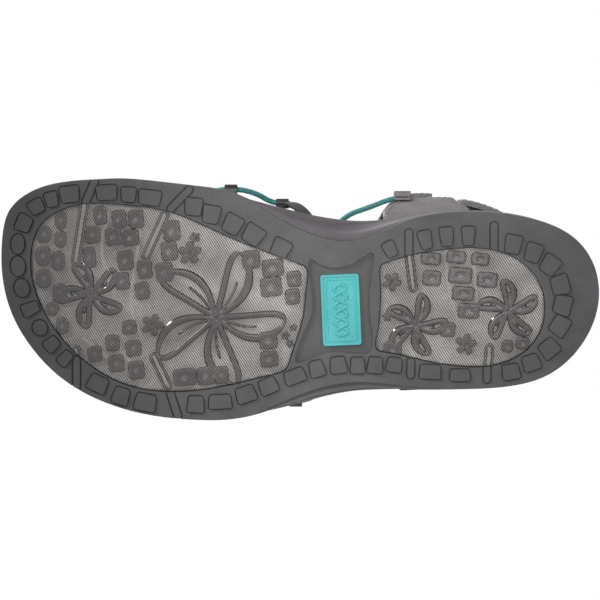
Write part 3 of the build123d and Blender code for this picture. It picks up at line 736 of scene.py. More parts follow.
RELIEFS = {
    "forefoot": [
        *[block(x, y, a + 0.8, b + 0.8, r=2.9) for x, y, a, b in TOE_PADS],
        *[block(x, y, a + 0.9, b + 0.9, turn=-6) for x, y, a, b in FOREFOOT_PADS],
        blossom(-8, -37, 31, 8.8, 20, 3.4),
        blossom(2.4, -92.6, 15.5, 4.7, 44, 1.7),
        floret(-11.1, -65.2, 5.2, 20), floret(20.7, -48.7, 5.4), floret(27.6, -46.4, 2.6, 50),
        floret(-15.9, -6.4, 2.1, 15), floret(-12.3, -2.9, 1.9), floret(-19.4, -4.4, 1.9, 40),
        channel(42, -95.2, 17, -99.2), channel(37.6, -59.6, 19.4, -68),
        channel(-22.4, -99, -31, -98.6), channel(-25.4, -64.5, -38, -58.6),
        contour([(39.4, -69.4), (32, -70.6), (22.6, -71.6), (12, -73.4), (2, -75), (-8, -74), (-16, -70.4)]),
        contour([(38, -84.2), (31, -86.4), (23.4, -88), (15, -86.6), (7.6, -83.6), (0, -81.6)]),
        contour([(-15.6, -86.8), (-24.8, -76.6), (-36, -70)]),
        contour([(-17.2, -96), (-24.6, -86), (-33, -79.6)]),
    ],
    "heel": [
        *[block(x, y, a + 0.9, b + 0.9, turn=5) for x, y, a, b in HEEL_PADS],
        blossom(-11.3, 51, 14.5, 4.4, 12, 1.6),
        blossom(-4.9, 92, 14.3, 4.3, -8, 1.6),
        floret(8, 40.6, 4.4, 30), floret(-19.8, 73.2, 5, 10), floret(-7.6, 38.6, 2.2),
        channel(19.4, 48.2, 5.4, 50), channel(-29, 83.2, -21.4, 83.8),
        contour([(21.2, 64.4), (8, 65), (-2, 67.4), (-9, 70)]),
        contour([(20.4, 76.8), (6, 77.4), (-9.6, 79.6)]),
    ],
}


def relief_of(window):
    return lambda u, v: np.max([shape(u, v) for shape in RELIEFS[window]], axis=0)


for window in ("forefoot", "heel"):
    loop = outline_of(window + "_tread")
    relief = relief_of(window)
    tread = plate(
        window + "_clear_tread", loop, 0.42, flat, lambda u, v, d: ground(v, 1.5 - 0.95 * relief(u, v)),
        lambda u, v, d: ground(v, 2.5), "clear_rubber", closed=False, relief=relief,
    )
    add(tread, "sandal", "clear_rubber", window + "_tread")
    liner = plate(
        window + "_ribbed_liner", loop, 1.5, flat, lambda u, v, d: ground(v, 2.5),
        lambda u, v, d: ground(v, 3.1), "ribbed_cloth",
    )
    add(liner, "sandal", "ribbed_cloth", window + "_liner")

# The badge: the plate with its borders, and a plaited ornament on it
badge = from_cad("badge_plate", "shank_badge", "badge_rubber", bevel=0.12)
add(badge, "sandal", "badge_rubber", "shank_badge")
BADGE = (-4.6 + OFF_X, 18 + OFF_Y, -2.5)  # x, y and tilt


def on_badge(a, b, w):
    """A point of the badge's own plane: a along x, b along y, w towards the ground."""
    c, s = math.cos(math.radians(BADGE[2])), math.sin(math.radians(BADGE[2]))
    return np.stack([BADGE[0] + a * c - b * s, BADGE[1] + a * s + b * c, 1.6 - w], -1)


def strand(phase, side):
    """One strand of a plait along the badge, drawn as a thin raised band."""
    t = np.linspace(-11.6, 11.6, 140)
    swing = t * 2 * math.pi / 7.733 + phase
    path = np.stack([t, 2.7 * np.sin(swing)], 1)
    over = 0.34 + 0.16 * np.cos(2 * swing) * side
    normal = path_normals(path)
    rings = []
    for s, w in ((-0.75, 0.0), (-0.6, 1.0), (0.0, 1.18), (0.6, 1.0), (0.75, 0.0)):
        at = path + normal * s
        rings.append(on_badge(at[:, 0], at[:, 1], over * w))
    points = np.concatenate(rings)
    n = len(t)
    faces = [(q, q + 1, q + n + 1, q + n) for r in range(4) for q in range(r * n, r * n + n - 1)]
    faces += [(4 * n + i, 4 * n + i + 1, i + 1, i) for i in range(n - 1)]
    faces += [tuple(r * n for r in range(5)), tuple(r * n + n - 1 for r in range(4, -1, -1))]
    return points, faces


points, faces = [], []
for phase, side in ((0.0, 1), (math.pi, -1)):
    more, quads = strand(phase, side)
    faces += [tuple(i + sum(map(len, points)) for i in q) for q in quads]
    points.append(more)
plait = face_out(as_mesh("badge_ornament", np.concatenate(points), faces, "badge_rubber"))
add(plait, "sandal", "badge_rubber")

# Outlines of the midsole, point by point with the outsole's
OUTSOLE_OUTLINE = [
    (53.4, -84), (51.8, -104.7), (46.8, -120.2), (38.8, -128.8), (27.5, -131.8), (11, -132), (-4.5, -128.6),
    (-20, -120.2), (-35.4, -105.3), (-45.3, -87.5), (-50.8, -69), (-53.4, -46), (-52.1, -24.8), (-46, -9),
    (-38.5, 11.4), (-36.6, 28), (-38.9, 51), (-39.4, 70), (-38.6, 90), (-33.3, 109.8), (-17.6, 126.2),
    (-1, 132), (10.8, 131.2), (25.6, 122.6), (35, 104), (38.5, 84), (38.4, 64.4), (34, 44.3), (28.9, 33.3),
    (26, 20), (29.2, 4.6), (38.1, -13), (46.3, -27), (50.6, -48.7), (52.8, -68),
]
MIDSOLE_TOP_OUTLINE = [
    (50.6, -84), (49.2, -104), (44.4, -118.6), (36.8, -126.6), (26.6, -129.4), (11.4, -129.8), (-3.6, -126.6),
    (-18.6, -118.6), (-34, -104), (-43.8, -86.6), (-49.5, -68.4), (-52.4, -46), (-52.4, -24.8), (-49.6, -8),
    (-44.4, 11.4), (-41.8, 28), (-41.3, 48), (-40.6, 68), (-39.2, 90), (-33.8, 109.6), (-18, 125.6),
    (-1, 131.2), (10.8, 130.6), (25, 122), (34.2, 104), (37.6, 84), (37.4, 64.4), (35, 44.3), (33.5, 31),
    (34.1, 18), (37, 2), (41.4, -15), (45.6, -31), (48.2, -49), (50, -68),
]
SEAT_PROFILE = np.array(
    [(-140, 21.5), (-110, 17.6), (-75, 15), (-40, 15.6), (0, 20), (40, 25), (80, 27), (140, 29)]
)
FLARE_TOP = 17.0
ROUND = 480
low_loop = closed_spline(OUTSOLE_OUTLINE, ROUND) + SHIFT
top_loop = closed_spline(MIDSOLE_TOP_OUTLINE, ROUND) + SHIFT


def seat(y):
    """Height of the midsole's top, smoothed between the profile's points."""
    y = np.asarray(y, float)
    return sum(np.interp(y + s, SEAT_PROFILE[:, 0], SEAT_PROFILE[:, 1]) for s in (-14, -7, 0, 7, 14)) / 5


def shell(name, rings, look):
    """A closed body through loops of equal length, shut at both ends along its middle line."""

    def folded(ring):
        made = []
        for share in (0.6, 0.3, 0.0):
            height = np.interp(ring[:, 1], *line_of(ring))
            made.append(np.column_stack([ring[:, 0] * share, ring[:, 1], height]))
        return made

    rings = [*folded(rings[0])[::-1], *rings, *folded(rings[-1])]
    faces = tube_faces(len(rings), len(rings[0]))
    return face_out(as_mesh(name, np.concatenate(rings), faces, look, sharp=35))


def line_of(ring):
    """A loop's height as a function of y."""
    order = np.argsort(ring[:, 1])
    return ring[order, 1], ring[order, 2]


# Midsole: a sculpted foam wall with a lip over the outsole, a scored line and a soft top edge
def midsole_ring(share, out):
    """A loop of the wall, a share of the way up, moved outwards."""
    base, crest = ground(low_loop[:, 1], 4.6), seat(top_loop[:, 1])
    z = base + (crest - base) * share
    t = np.clip(z / FLARE_TOP, 0, 1)[:, None]
    plan = low_loop * (1 - t) + top_loop * t
    return np.column_stack([inwards(plan, -out), z])


WALL = [
    (0.0, -0.7), (0.0, 0.1), (0.03, 0.42), (0.08, 0.55), (0.14, 0.42), (0.19, 0.1), (0.27, 0.0), (0.4, -0.05),
    (0.52, -0.1), (0.55, -0.2), (0.565, -0.75), (0.585, -0.75), (0.6, -0.15), (0.64, 0.05), (0.78, 0.12),
    (0.9, 0.0), (0.95, -0.25), (0.985, -0.75), (1.0, -1.6), (1.0, -6.5),
]
mid = shell("midsole_foam", [midsole_ring(share, out) for share, out in WALL], "midsole_foam")
# Share up the wall; the material turns it into a painted highlight on the lip and painted shade higher up and
# in the scored line
note(mid, "depth", np.repeat([0.0] * 3 + [share for share, _ in WALL] + [1.0] * 3, ROUND))
add(mid, "sandal", "midsole_foam", "midsole")

# Footbed: board, foam edge and a padded cover with a sewn rim
FOOTBED_INSET = 3.4


def footbed_ring(inset, lift):
    plan = inwards(top_loop, inset)
    return np.column_stack([plan, seat(plan[:, 1]) + lift])


# The rings of board and foam: how far in from the midsole's top outline, and how far above its top
BOARD_EDGE = [(3.9, 0.1), (3.4, 0.2), (3.4, 1.1), (3.9, 1.2)]
board = shell("insole_board", [footbed_ring(*at) for at in BOARD_EDGE], "lasting_board")
add(board, "sandal", "lasting_board", "insole_board")
FOAM_EDGE = [
    (4.2, 1.15), (3.5, 1.3), (3.05, 1.9), (2.85, 2.8), (2.85, 3.8), (3.05, 4.6), (3.5, 5.1), (4.2, 5.2),
]
foam = shell("footbed_foam", [footbed_ring(*at) for at in FOAM_EDGE], "footbed_foam")
add(foam, "sandal", "footbed_foam", "footbed_foam")


def cover_top(u, v, d):
    """The padded cover: low heel cup and arch, a ridge under the toes and quilted waves."""
    cup = 1.5 * step((v - 30) / 60) * (1 - step(d / 20))
    arch = 1.3 * step((u - 4) / 24) * np.exp(-(((v - 12) / 34) ** 2))
    toes = 0.9 * np.exp(-(((v + 82 + 0.18 * u) / 7) ** 2)) * step(d / 8)
    wave = np.sin((v + 2.2 * np.sin(u / 5.2)) * 2 * math.pi / 9.5)
    quilt = 0.3 * step((d - 8) / 2.5) * (np.abs(wave) ** 0.5 - 0.75)
    sewn = -0.35 * np.exp(-(((d - 3.4) / 0.8) ** 2))
    r = 1.1
    edge = r * (1 - np.sqrt(1 - (1 - np.minimum(d / r, 1)) ** 2))
    return seat(v) + 6.4 + cup + arch + toes + quilt + sewn - edge


cover_loop = inwards(top_loop, FOOTBED_INSET)
cover = plate(
    "footbed_cover", cover_loop[::2], 1.05, flat, cover_top,
    lambda u, v, d: seat(v) + 5.2, "cover_cloth", sharp=50,
)
add(cover, "sandal", "cover_cloth", "footbed_cover")
sewing = inwards(cover_loop, 3.4)[::2]
sewing = np.concatenate([sewing, sewing[:1]])
z = cover_top(sewing[:, 0], sewing[:, 1], np.full(len(sewing), 3.4)) - 0.02
rows = [(np.column_stack([sewing, z]), np.tile([0.0, 0.0, 1.0], (len(z), 1)))]
sew("footbed_stitches", rows, "thread_teal")


# ---- Upper ----
def turned(origin, lean=0.0, skew=0.0):
    """Places a leaning, skewed section: (a across the foot, b up, c along it)."""
    tilt, yaw = math.radians(lean), math.radians(skew)

    def place(a, b, c):
        y = c * math.cos(tilt) - b * math.sin(tilt)
        z = c * math.sin(tilt) + b * math.cos(tilt)
        x = a * math.cos(yaw) - y * math.sin(yaw)
        y = a * math.sin(yaw) + y * math.cos(yaw)
        return np.stack([origin[0] + x, origin[1] + y, origin[2] + z], -1)

    return place


def oval(axes, lift, first, last, count):
    """Points on the foot's oval between two angles, counted from the medial side."""
    t = np.radians(np.linspace(first, last, count))
    high = np.where(np.sin(t) > 0, axes[1], axes[2])
    return np.stack([(axes[0] + lift) * np.cos(t), (high + lift) * np.sin(t)], 1)


def sewn_lines(path, place, across, lift):
    """Lines along a ribbon for its stitches, with outward normals."""
    out = path_normals(path)
    lines = []
    for c in across:
        c = np.broadcast_to(c, len(path)).astype(float)
        here, above = path + out * lift, path + out * (lift + 1)
        on = place(here[:, 0], here[:, 1], c)
        lines.append((on, place(above[:, 0], above[:, 1], c) - on))
    return lines


# Ovals of the foot: half width, height above the middle and depth below it
ANKLE = (39.8, 38.0, 64.0)
FRONT = (46.0, 27.0, 90.0)
FRONT_WIDE, INSTEP_WIDE, KEEPER_WIDE, TAPE_WIDE, LOOP_WIDE, SLEEVE_WIDE = 20, 18, 16, 14, 5.8, 7.6
ANKLE_X = -1 + OFF_X
front_place = turned((0.4 + OFF_X, -74 + OFF_Y, 25.0), 10, -13)
instep_place = turned((ANKLE_X, 54 + OFF_Y, 55.0), 20)

front = oval(FRONT, 1.9, -6.6, 186.6, 110)
shape = section(FRONT_WIDE, -0.8, 0.8, 0.55, 0.3)
strap("front_strap", front, shape, front_place, "strap_synthetic")
path = oval(FRONT, 0.55, -6.6, 186.6, 110)
strap("front_strap_lining", path, section(FRONT_WIDE + 0.6, -0.6, 0.6, 0.5), front_place, "lining_cloth")
sew("front_strap_stitches", sewn_lines(front[4:-4], front_place, (-8.3, -6.9, 6.9, 8.3), 0.86))


def loop_path(foot, bow, eye, side):
    """A webbing leg that bows out, goes round the cord's eye and comes back down behind itself."""
    t = np.linspace(0, 1, 26)[:, None]
    a, b, c = (np.array(p, float) - (0.65 * side, 0) for p in (foot, bow, eye))
    middle = 2 * b - 0.5 * a - 0.5 * c
    leg = (1 - t) ** 2 * a + 2 * t * (1 - t) * middle + t * t * c
    leg = leg[leg[:, 1] < eye[1] - 2.6]
    turn = np.radians(np.linspace(-38, 232, 26))
    circle = np.stack([eye[0] + side * 1.75 * np.cos(turn), eye[1] + 1.75 * np.sin(turn)], 1)
    inner = leg[::-1][:7] - (1.25 * side, 0)
    return np.concatenate([leg, circle, inner])


LOOPS = {
    "medial_front_loop": ((43.8, 13.5), (47.2, 26), (46.4, 38), -31, 0),
    "medial_middle_loop": ((35.6, 16), (40.8, 30), (39.6, 44), -8, 24),
    "lateral_front_loop": ((-50.2, 12.5), (-51.8, 22), (-50, 31), -53, 0),
    "lateral_middle_loop": ((-47.6, 17), (-50.6, 28), (-48.8, 38), -2, 0),
}


def loop_place(eye, y, slant):
    """A loop stands across the foot's edge; a slanted one leans back below its eye."""

    def place(a, b, c):
        drop = np.maximum(eye[1] - 2.5 - b, 0)
        return np.stack([a + OFF_X, y + OFF_Y + c + drop * math.tan(math.radians(slant)), b], -1)

    return place


for name, (foot, bow, eye, y, slant) in LOOPS.items():
    side = 1 if eye[0] > 0 else -1
    path = loop_path(foot, bow, eye, side)
    place = loop_place(eye, y, slant)
    strap(name, path, section(LOOP_WIDE, -0.48, 0.48, 0.35, across=7), place, "webbing")
    across = np.linspace(-0.38, 0.38, 12) * LOOP_WIDE
    low = path[np.argmin(np.abs(path[:26, 1] - eye[1] + 5.4))]
    rows = []
    for lift in (-0.5, 0.3, 1.1):
        a = np.full(12, low[0] + side * 0.62)
        b = np.full(12, low[1] + lift)
        on = place(a, b, across)
        rows.append((on, np.tile([float(side), 0, 0], (12, 1))))
    sew(name + "_bartack", rows, "thread_dark", 1.1, 0.3, 0.22)


# Quarters: curved side panels with a double sewn edge, lined inside
def quarter_place(side):
    def place(u, v, w):
        high = np.where(v > 55, ANKLE[1], ANKLE[2]) + w
        x = (ANKLE[0] + w) * np.sqrt(np.maximum(1 - ((v - 55) / high) ** 2, 0))
        return np.stack([side * x + ANKLE_X, u, v], -1)

    return place


def rounded(points, r):
    """A polygon's outline with its corners rounded."""
    p = np.array(points, float)
    made = []
    for i in range(len(p)):
        before, here, after = p[i - 1], p[i], p[(i + 1) % len(p)]
        a, b = before - here, after - here
        cut = min(r, 0.45 * np.linalg.norm(a), 0.45 * np.linalg.norm(b))
        a, b = here + a / np.linalg.norm(a) * cut, here + b / np.linalg.norm(b) * cut
        for t in np.linspace(0, 1, 7):
            made.append((1 - t) ** 2 * a + 2 * t * (1 - t) * here + t * t * b)
    return np.array(made)


def dense(loop, gap):
    """A loop with points at most a gap apart."""
    made = []
    for a, b in zip(loop, np.roll(loop, -1, 0)):
        steps = max(1, int(np.ceil(np.linalg.norm(b - a) / gap)))
        made += [a + (b - a) * k / steps for k in range(steps)]
    return np.array(made)


def edged(low_w, high_w, r=0.5, crown=0.0, sewn_at=None):
    """Top and bottom functions of a plate with round edges, a crown and a sewn channel."""

    def top(u, v, d):
        s = np.minimum(d / r, 1)
        w = high_w - r * (1 - np.sqrt(1 - (1 - s) ** 2)) + crown * step(d / 8)
        if sewn_at:
            w = w - 0.22 * np.exp(-(((d - sewn_at) / 0.5) ** 2))
        return w

    def bottom(u, v, d):
        return np.full(len(u), float(low_w))

    return top, bottom


QUARTER = [(37, 20), (37, 27), (44, 44), (48.5, 62), (69, 62), (70.5, 44), (76, 30), (76, 20)]
quarter_loop = dense(rounded(QUARTER, 2.6), 1.0)
for side, body in ((1, "medial"), (-1, "lateral")):
    place = quarter_place(side)
    top, bottom = edged(1.1, 2.75, 0.6, 0.25, 1.9)
    panel = plate(body + "_quarter", quarter_loop, 0.75, place, top, bottom, "strap_synthetic", sharp=60)
    add(face_out(panel), "sandal", "strap_synthetic", body + "_quarter")
    inner = plate(
        body + "_quarter_lining", inwards(quarter_loop, 0.8), 0.9, place,
        lambda u, v, d: -0.2 * step(d / 5), lambda u, v, d: np.full(len(u), 1.15), "lining_cloth", sharp=60,
    )
    add(face_out(inner), "sandal", "lining_cloth", body + "_quarter_lining")
    rows = []
    for inset in (1.9, 3.3):
        line = inwards(quarter_loop, inset)
        line = np.roll(line, -line[:, 1].argmin(), 0)
        line = line[line[:, 1] > 23]
        rows.append(line_on(place, line[:, 0], line[:, 1], 2.78))
    sew(body + "_quarter_stitches", rows)

# The cord's sleeve: webbing folded over the cord and sewn to the medial quarter
sleeve_at = (43 + OFF_X, 48.4)
arc = np.radians(np.linspace(-118, 118, 22))
sleeve = np.stack([sleeve_at[0] - 0.1 + 1.75 * np.cos(arc), sleeve_at[1] + 1.75 * np.sin(arc)], 1)
below = np.array([[41.9, 41.6], [42.0, 43.4], [42.05, 45.2]])
above = np.array([[42.2, 51.6], [42.2, 53.4], [42.1, 55.2]])
sleeve = np.concatenate([below, sleeve, above])


def sleeve_place(a, b, c):
    return np.stack([a, 46 + OFF_Y + c, b], -1)


shape = section(SLEEVE_WIDE, -0.4, 0.4, 0.35, across=7)
strap("cord_sleeve", sleeve, shape, sleeve_place, "strap_synthetic")
c = np.linspace(-0.5, 0.5, 14) * SLEEVE_WIDE
rows = []
for z in (43.0, 44.2, 52.8, 54.0):
    rows.append((sleeve_place(np.full(14, 42.62), np.full(14, z), c), np.tile([1.0, 0, 0], (14, 1))))
sew("cord_sleeve_bartack", rows, "thread_dark", 1.2, 0.35, 0.22)

# Bungee cord: one curve along the CAD route
CORD_ROUTE = [
    (-50, -57, 31), (-50, -48.6, 31), (-48, -43.4, 37.6), (-38.6, -40.4, 49), (-20, -38.6, 58),
    (2, -37.6, 61.5), (23, -37.4, 58.6), (38, -38.4, 51), (45.6, -38.2, 42.6), (46.4, -34, 38),
    (46.4, -26.4, 38), (44.4, -19.4, 40), (40.2, -13, 43.8), (39.6, -7, 44), (37.4, -1, 49.4),
    (28.6, 1.8, 60.4), (13, 2.4, 69.6), (-6, 1.6, 72), (-25, -1, 66.6), (-40, -5, 55.4),
    (-47.8, -8.4, 43.2), (-48.8, -4.6, 38), (-48.8, 1.6, 38), (-47.4, 7, 44.4), (-38.4, 10, 58.4),
    (-21.6, 11.2, 71), (-2, 12, 76.4), (16, 13.4, 72.6), (28.6, 16.4, 62.4), (34.4, 22.4, 53.8),
    (37.4, 31, 50), (41.4, 40.4, 48.6), (43.2, 49.6, 48.2),
]
curve = bpy.data.curves.new("bungee_cord", "CURVE")
curve.dimensions = "3D"
curve.bevel_depth = 1.2 * MM
curve.bevel_resolution = 5
curve.resolution_u = 14
curve.use_fill_caps = True
line = curve.splines.new("NURBS")
line.points.add(len(CORD_ROUTE) - 1)
for point, (x, y, z) in zip(line.points, CORD_ROUTE):
    point.co = ((x + OFF_X) * MM, (y + OFF_Y) * MM, z * MM, 1)
line.order_u = 3
line.use_endpoint_u = True
cord = placed("bungee_cord", curve)
curve.materials.append(LOOKS["cord_elastic"])
add(cord, "sandal", "cord_elastic", "bungee_cord")


# Stopper knot at the cord's toe end, where it can't slip back through its loop
def knot_points():
    """A small overhand-knot-like bead: a lobed ball round the cord's end."""
    n, m, points = 22, 28, []
    for i in range(n + 1):
        f = math.pi * i / n
        for j in range(m):
            t = 2 * math.pi * j / m
            r = 2.35 * (1 + 0.13 * math.sin(2 * t + 3.2 * f) * math.sin(f) ** 0.5)
            wide = r * math.sin(f)
            x, z = -50 + OFF_X + wide * math.cos(t), 31 + wide * math.sin(t)
            points.append((x, -58.6 - 1.15 * r * math.cos(f), z))
    return np.array(points), tube_faces(n + 1, m)


add(face_out(as_mesh("cord_knot", *knot_points(), "cord_elastic")), "sandal", "cord_elastic")


# ---- Instep strap, ring and adjuster ----
def ankle_point(angle, lift):
    t = math.radians(angle)
    return np.array([(ANKLE[0] + lift) * math.cos(t), (ANKLE[1] + lift) * math.sin(t)])


def across_strap(angle, lift, across):
    """A row of points across the instep strap."""
    a, b = ankle_point(angle, lift)
    return instep_place(np.full(len(across), a), np.full(len(across), b), across)


def fold_round(angle, lift, radius, turns):
    """A strap's fold round a bar at an angle of the ankle; its turns start from the foot's side."""
    here = math.radians(angle)
    arc = math.atan2(-math.sin(here), -math.cos(here)) + np.radians(turns)
    return ankle_point(angle, lift) + radius * np.stack([np.cos(arc), np.sin(arc)], 1)


def medial_taper(angles):
    """The instep strap narrows to where it is sewn to the medial quarter."""
    return 0.74 + 0.26 * step((np.asarray(angles) - 14) / 40)


main = oval(ANKLE, 3.7, 2, 139, 90)
bend = fold_round(147, 5.4, 3.1, np.linspace(-12, -205, 26))
landing = oval(ANKLE, 7.2, 144.4, 142.6, 3)
instep = np.concatenate([main, bend, landing])
narrow = medial_taper(np.linspace(2, 139, 90))
widths = np.concatenate([narrow, np.full(len(bend) + len(landing), 0.97)])
shape = section(INSTEP_WIDE, -0.75, 0.75, 0.55, 0.25)
strap("instep_strap", instep, shape, instep_place, "strap_synthetic", widths=widths)
rows = sewn_lines(main[2:], instep_place, (-7.4 * narrow[2:], 7.4 * narrow[2:]), 0.78)
row = np.linspace(-5.4, 5.4, 9)
for angle in (3.6, 12.2):
    on = across_strap(angle, 4.5, row)
    rows.append((on, across_strap(angle, 5.6, row) - on))
sew("instep_strap_stitches", rows)

path = oval(ANKLE, 4.9, 80, 130, 40)
strap("loop_patch", path, section(TAPE_WIDE, -0.4, 0.5, 0.3), instep_place, "hook_loop")
path = oval(ANKLE, 6.0, 82, 128, 40)
strap("hook_patch", path, section(TAPE_WIDE, -0.4, 0.4, 0.3), instep_place, "hook_loop", "adjuster")
tab_path = oval(ANKLE, 7.1, 74, 142, 70)
taper = np.minimum(1.0, 0.62 + 0.38 * np.sqrt(np.linspace(0, 1, 70) * 12).clip(0, 1))
shape = section(INSTEP_WIDE, -0.7, 0.7, 0.5, 0.25)
tab = ribbon("adjuster_tab", tab_path, shape, instep_place, "strap_synthetic", widths=taper)
HINGE_FROM, HINGE_TO = (instep_place(*ankle_point(angle, 7.1), 0) * MM for angle in (142, 134))
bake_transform(tab)
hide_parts("adjuster_tab")
side_lines = sewn_lines(tab_path[6:-4], instep_place, (-7.3, 7.3), 0.76)
row = np.linspace(-6.6, 6.6, 8)
on = across_strap(77.0, 7.86, row)
end_line = (on, across_strap(77.0, 8.86, row) - on)
tab_sewn = stitches("adjuster_stitches", [*side_lines, end_line], "thread_grey")
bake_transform(tab_sewn)

ring = from_cad("strap_ring", "strap_ring", "ring_plastic", bevel=0, dissolve=0.1)
add(ring, "ring", "ring_plastic", "strap_ring")
keeper_leg = oval(ANKLE, 3.55, 186, 163.5, 22)
keeper_fold = fold_round(159.5, 5.4, 1.85, np.linspace(25, 250, 22))
keeper_back = oval(ANKLE, 4.75, 167, 176, 8)
path = np.concatenate([keeper_leg, keeper_fold, keeper_back])
strap("ring_keeper", path, section(KEEPER_WIDE, -0.55, 0.55, 0.4), instep_place, "webbing")
rows = []
row = np.linspace(-6.6, 6.6, 10)
for angle in (170.5, 173.0):
    on = across_strap(angle, 5.35, row)
    rows.append((on, across_strap(angle, 6.35, row) - on))
sew("ring_keeper_bartack", rows, "thread_dark", 1.3, 0.4, 0.24)

# ---- Heel sling ----
SLING = (38.3, 50.0)
t = np.linspace(0, math.pi, 121)
back_arc = np.stack([SLING[0] * np.cos(t) + ANKLE_X, 62 + OFF_Y + SLING[1] * np.sin(t)], 1)
legs = [[(side * SLING[0] + ANKLE_X, y + OFF_Y) for y in (54, 58)] for side in (1, -1)]
sling = np.concatenate([legs[0], back_arc, legs[1][::-1]])
sling_run = np.concatenate([[0], np.cumsum(np.linalg.norm(np.diff(sling, axis=0), axis=1))])
sling_out = path_normals(sling)


def proud(y, x):
    """How far the sling stands out behind each quarter."""
    return np.where(x > 0, 3.8, 2.0) * step((y - 65.5) / 8) * (1 - step((y - 88) / 24))


def sling_place(u, v, w):
    x, y = np.interp(u, sling_run, sling[:, 0]), np.interp(u, sling_run, sling[:, 1])
    nx, ny = np.interp(u, sling_run, sling_out[:, 0]), np.interp(u, sling_run, sling_out[:, 1])
    size = np.hypot(nx, ny)
    w = w + proud(y, x)
    return np.stack([x + nx / size * w, y + ny / size * w, v], -1)


def sling_edge(y, high):
    ends, heights = ((54, 84, 122), (64, 67, 77)) if high else ((54, 84, 122), (47, 50, 53))
    return np.interp(y, ends, heights)


us = np.linspace(0.2, sling_run[-1] - 0.2, 90)
ys = np.interp(us, sling_run, sling[:, 1])
sling_loop = np.concatenate(
    [np.stack([us, sling_edge(ys, False)], 1), np.stack([us[::-1], sling_edge(ys[::-1], True)], 1)]
)
sling_loop = dense(sling_loop, 1.2)


def sling_layer(name, inset, low_w, high_w, look, pitch, crown=0.0, sewn_at=None):
    """A layer of the heel strap. One whose high side lies below its low side faces the foot."""
    loop = inwards(sling_loop, inset)
    top, bottom = edged(low_w, high_w, 0.55, crown, sewn_at)

    def towards_foot(u, v, d):
        return high_w + 0.5 * (1 - np.minimum(d / 0.6, 1)) - crown * step(d / 6)

    if high_w < low_w:
        top = towards_foot
    return face_out(plate(name, loop, pitch, sling_place, top, bottom, look, sharp=60))


def finish_sling(obj, node):
    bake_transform(obj)
    if node:
        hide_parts(node)
    return obj


outer = sling_layer("heel_strap", 0, -1.6, 0.0, "strap_synthetic", 0.9, 0.35, 2.0)
finish_sling(outer, "heel_strap")
inside = sling_layer("heel_strap_lining", 0.7, -3.9, -5.0, "lining_cloth", 1.2, 0.5)
finish_sling(inside, "heel_strap_lining")
rows = []
for inset in (2.0, 3.4):
    line = dense(inwards(sling_loop, inset), 1.0)
    line = np.concatenate([line, line[:1]])
    rows.append(line_on(sling_place, line[:, 0], line[:, 1], 0.05))
finish_sling(stitches("heel_strap_stitches", rows, "thread_grey"), None)


# Pads: foam between the straps and their linings. The simulation moves most of it by hundredths of a
# millimetre and none of it by more than the cap.
PAD_VOXEL, PAD_CAP, PAD_FRAMES, PAD_PRESSURE = 1.3, 0.9, 20, 4.0


def puff(obj):
    """Remeshes a pad, blows it up a little as cloth and keeps each point near its place."""
    scene.frame_set(1)
    remesh = obj.modifiers.new("remesh", "REMESH")
    remesh.mode = "VOXEL"
    remesh.voxel_size = PAD_VOXEL * MM
    bake_modifiers(obj)
    rest = np.array([v.co for v in obj.data.vertices])
    cloth = obj.modifiers.new("cloth", "CLOTH")
    cloth.settings.use_pressure = True
    cloth.settings.uniform_pressure_force = PAD_PRESSURE
    cloth.settings.effector_weights.gravity = 0
    cloth.settings.quality = 4
    cloth.point_cache.frame_start, cloth.point_cache.frame_end = 1, PAD_FRAMES
    for frame_number in range(1, PAD_FRAMES + 1):
        scene.frame_set(frame_number)
    bake_modifiers(obj)
    now = np.array([v.co for v in obj.data.vertices])
    moved = now - rest
    far = np.linalg.norm(moved, axis=1)[:, None]
    now = rest + moved * np.minimum(1, PAD_CAP * MM / np.maximum(far, 1e-9))
    obj.data.vertices.foreach_set("co", now.astype(np.float32).ravel())
    scene.frame_set(1)
    smooth = obj.modifiers.new("subdivide", "SUBSURF")
    smooth.levels = smooth.render_levels = 1
    bake_modifiers(obj)
    obj.data.shade_smooth()
    return obj


def bake_modifiers(obj):
    """Replaces the mesh with its evaluated shape and clears the modifiers."""
    graph = bpy.context.evaluated_depsgraph_get()
    made = bpy.data.meshes.new_from_object(obj.evaluated_get(graph), depsgraph=graph)
    obj.modifiers.clear()
    obj.data = made


path = oval(ANKLE, 1.7, 17.5, 138.5, 90)
widths = medial_taper(np.linspace(17.5, 138.5, 90)) * 0.99
pad = ribbon("instep_pad", path, section(17.4, -1.0, 1.0, 0.9), instep_place, "footbed_foam", widths)
puff(pad)
add(pad, "sandal", "footbed_foam", "instep_pad")

heel_pad = sling_layer("heel_strap_pad", 0.1, -3.8, -1.7, "footbed_foam", 1.0)
puff(heel_pad)
finish_sling(heel_pad, "heel_strap_pad")

# ---- Floor, light, camera ----
scene.view_settings.view_transform = "Standard"
sky = Look("studio", bpy.data.worlds)
seen = sky.add("ShaderNodeLightPath").outputs["Is Camera Ray"]
strength = sky.add("ShaderNodeMix", {0: seen, 2: 0.4, 3: 1.0}).outputs[0]
white = sky.add("ShaderNodeBackground", {"Strength": strength, "Color": (1, 1, 1, 1)})
sky.add("ShaderNodeOutputWorld", {"Surface": white.outputs[0]})
scene.world = sky.made


def lamp(name, place, aim, size, power):
    data = bpy.data.lights.new(name, "AREA")
    data.size = size
    data.energy = power
    obj = placed(name, data)
    obj.visible_camera = False
    obj.location = place
    obj.rotation_euler = (Vector(aim) - Vector(place)).to_track_quat("-Z", "Y").to_euler()


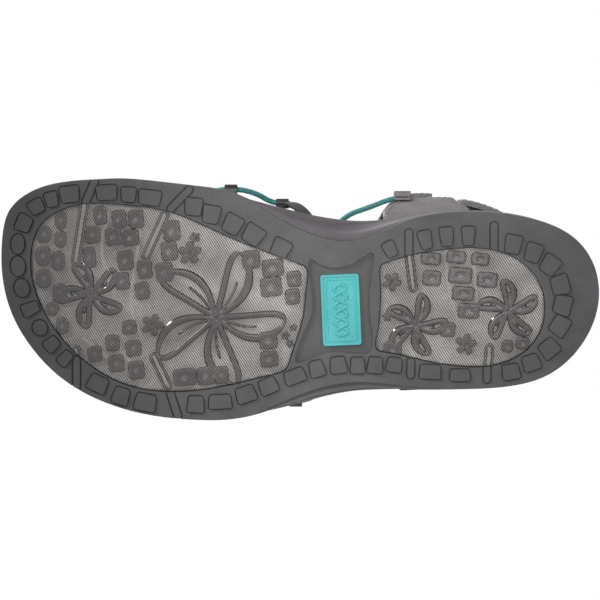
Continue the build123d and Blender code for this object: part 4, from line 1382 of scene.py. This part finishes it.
lamp("below_key", (0.1, 0.045, -0.33), (0.02, 0.01, 0), 0.22, 0.56)
lamp("below_glint", (0.7, -0.75, -0.55), (0, 0, 0), 0.12, 6.0)
lamp("below_fill", (-0.6, 0.9, -0.9), (0, 0, 0), 0.5, 2.0)
lamp("above_key", (0.8, -0.7, 1.4), (0, 0, 0), 0.7, 16)
lamp("above_fill", (-0.9, 0.9, 1.1), (0, 0, 0), 1.2, 8)


def floor_look():
    """Pale grey that fades to a plain glow far from the object, and clear from below."""
    look = Look("floor")
    cloud = look.add("ShaderNodeTexNoise", {"Scale": 3.0}).outputs["Fac"]
    pale = look.add("ShaderNodeBsdfDiffuse", {"Color": look.greys(cloud, [(0.0, 0.86), (1.0, 0.9)])})
    here = look.add("ShaderNodeNewGeometry").outputs
    reach = look.add("ShaderNodeVectorMath", {0: here["Position"]}, operation="LENGTH").outputs["Value"]
    inputs = {"Value": reach, "From Min": 0.35, "From Max": 1.3}
    fade = look.add("ShaderNodeMapRange", inputs, interpolation_type="SMOOTHSTEP")
    glow = look.add("ShaderNodeEmission")
    far = look.add("ShaderNodeMixShader", {0: fade.outputs["Result"], 1: pale.outputs[0], 2: glow.outputs[0]})
    clear = look.add("ShaderNodeBsdfTransparent")
    both = look.add("ShaderNodeMixShader", {0: here["Backfacing"], 1: far.outputs[0], 2: clear.outputs[0]})
    look.add("ShaderNodeOutputMaterial", {"Surface": both.outputs[0]})
    return look.made


ground_mesh = bpy.data.meshes.new("floor")
ground_mesh.from_pydata([(-4, -4, 0), (4, -4, 0), (4, 4, 0), (-4, 4, 0)], [], [(0, 1, 2, 3)])
ground_mesh.materials.append(floor_look())
floor = placed("floor", ground_mesh)
floor.visible_diffuse = floor.visible_glossy = floor.visible_transmission = floor.visible_shadow = False

CAMERA_AWAY, VIEW_WIDTH, TILT, SENSOR = 2.2, 0.2649, math.radians(5), 36
camera_data = bpy.data.cameras.new("camera")
camera_data.sensor_width = SENSOR
camera_data.lens = SENSOR * CAMERA_AWAY / VIEW_WIDTH
camera_data.clip_start, camera_data.clip_end = 0.05, 20
camera = placed("camera", camera_data)
right, up = Vector((0, 1, 0)), Vector((math.cos(TILT), 0, math.sin(TILT)))
back = right.cross(up)
axes = [[right[i], up[i], back[i], back[i] * CAMERA_AWAY] for i in range(3)]
camera.matrix_world = Matrix([*axes, [0, 0, 0, 1]])
scene.camera = camera
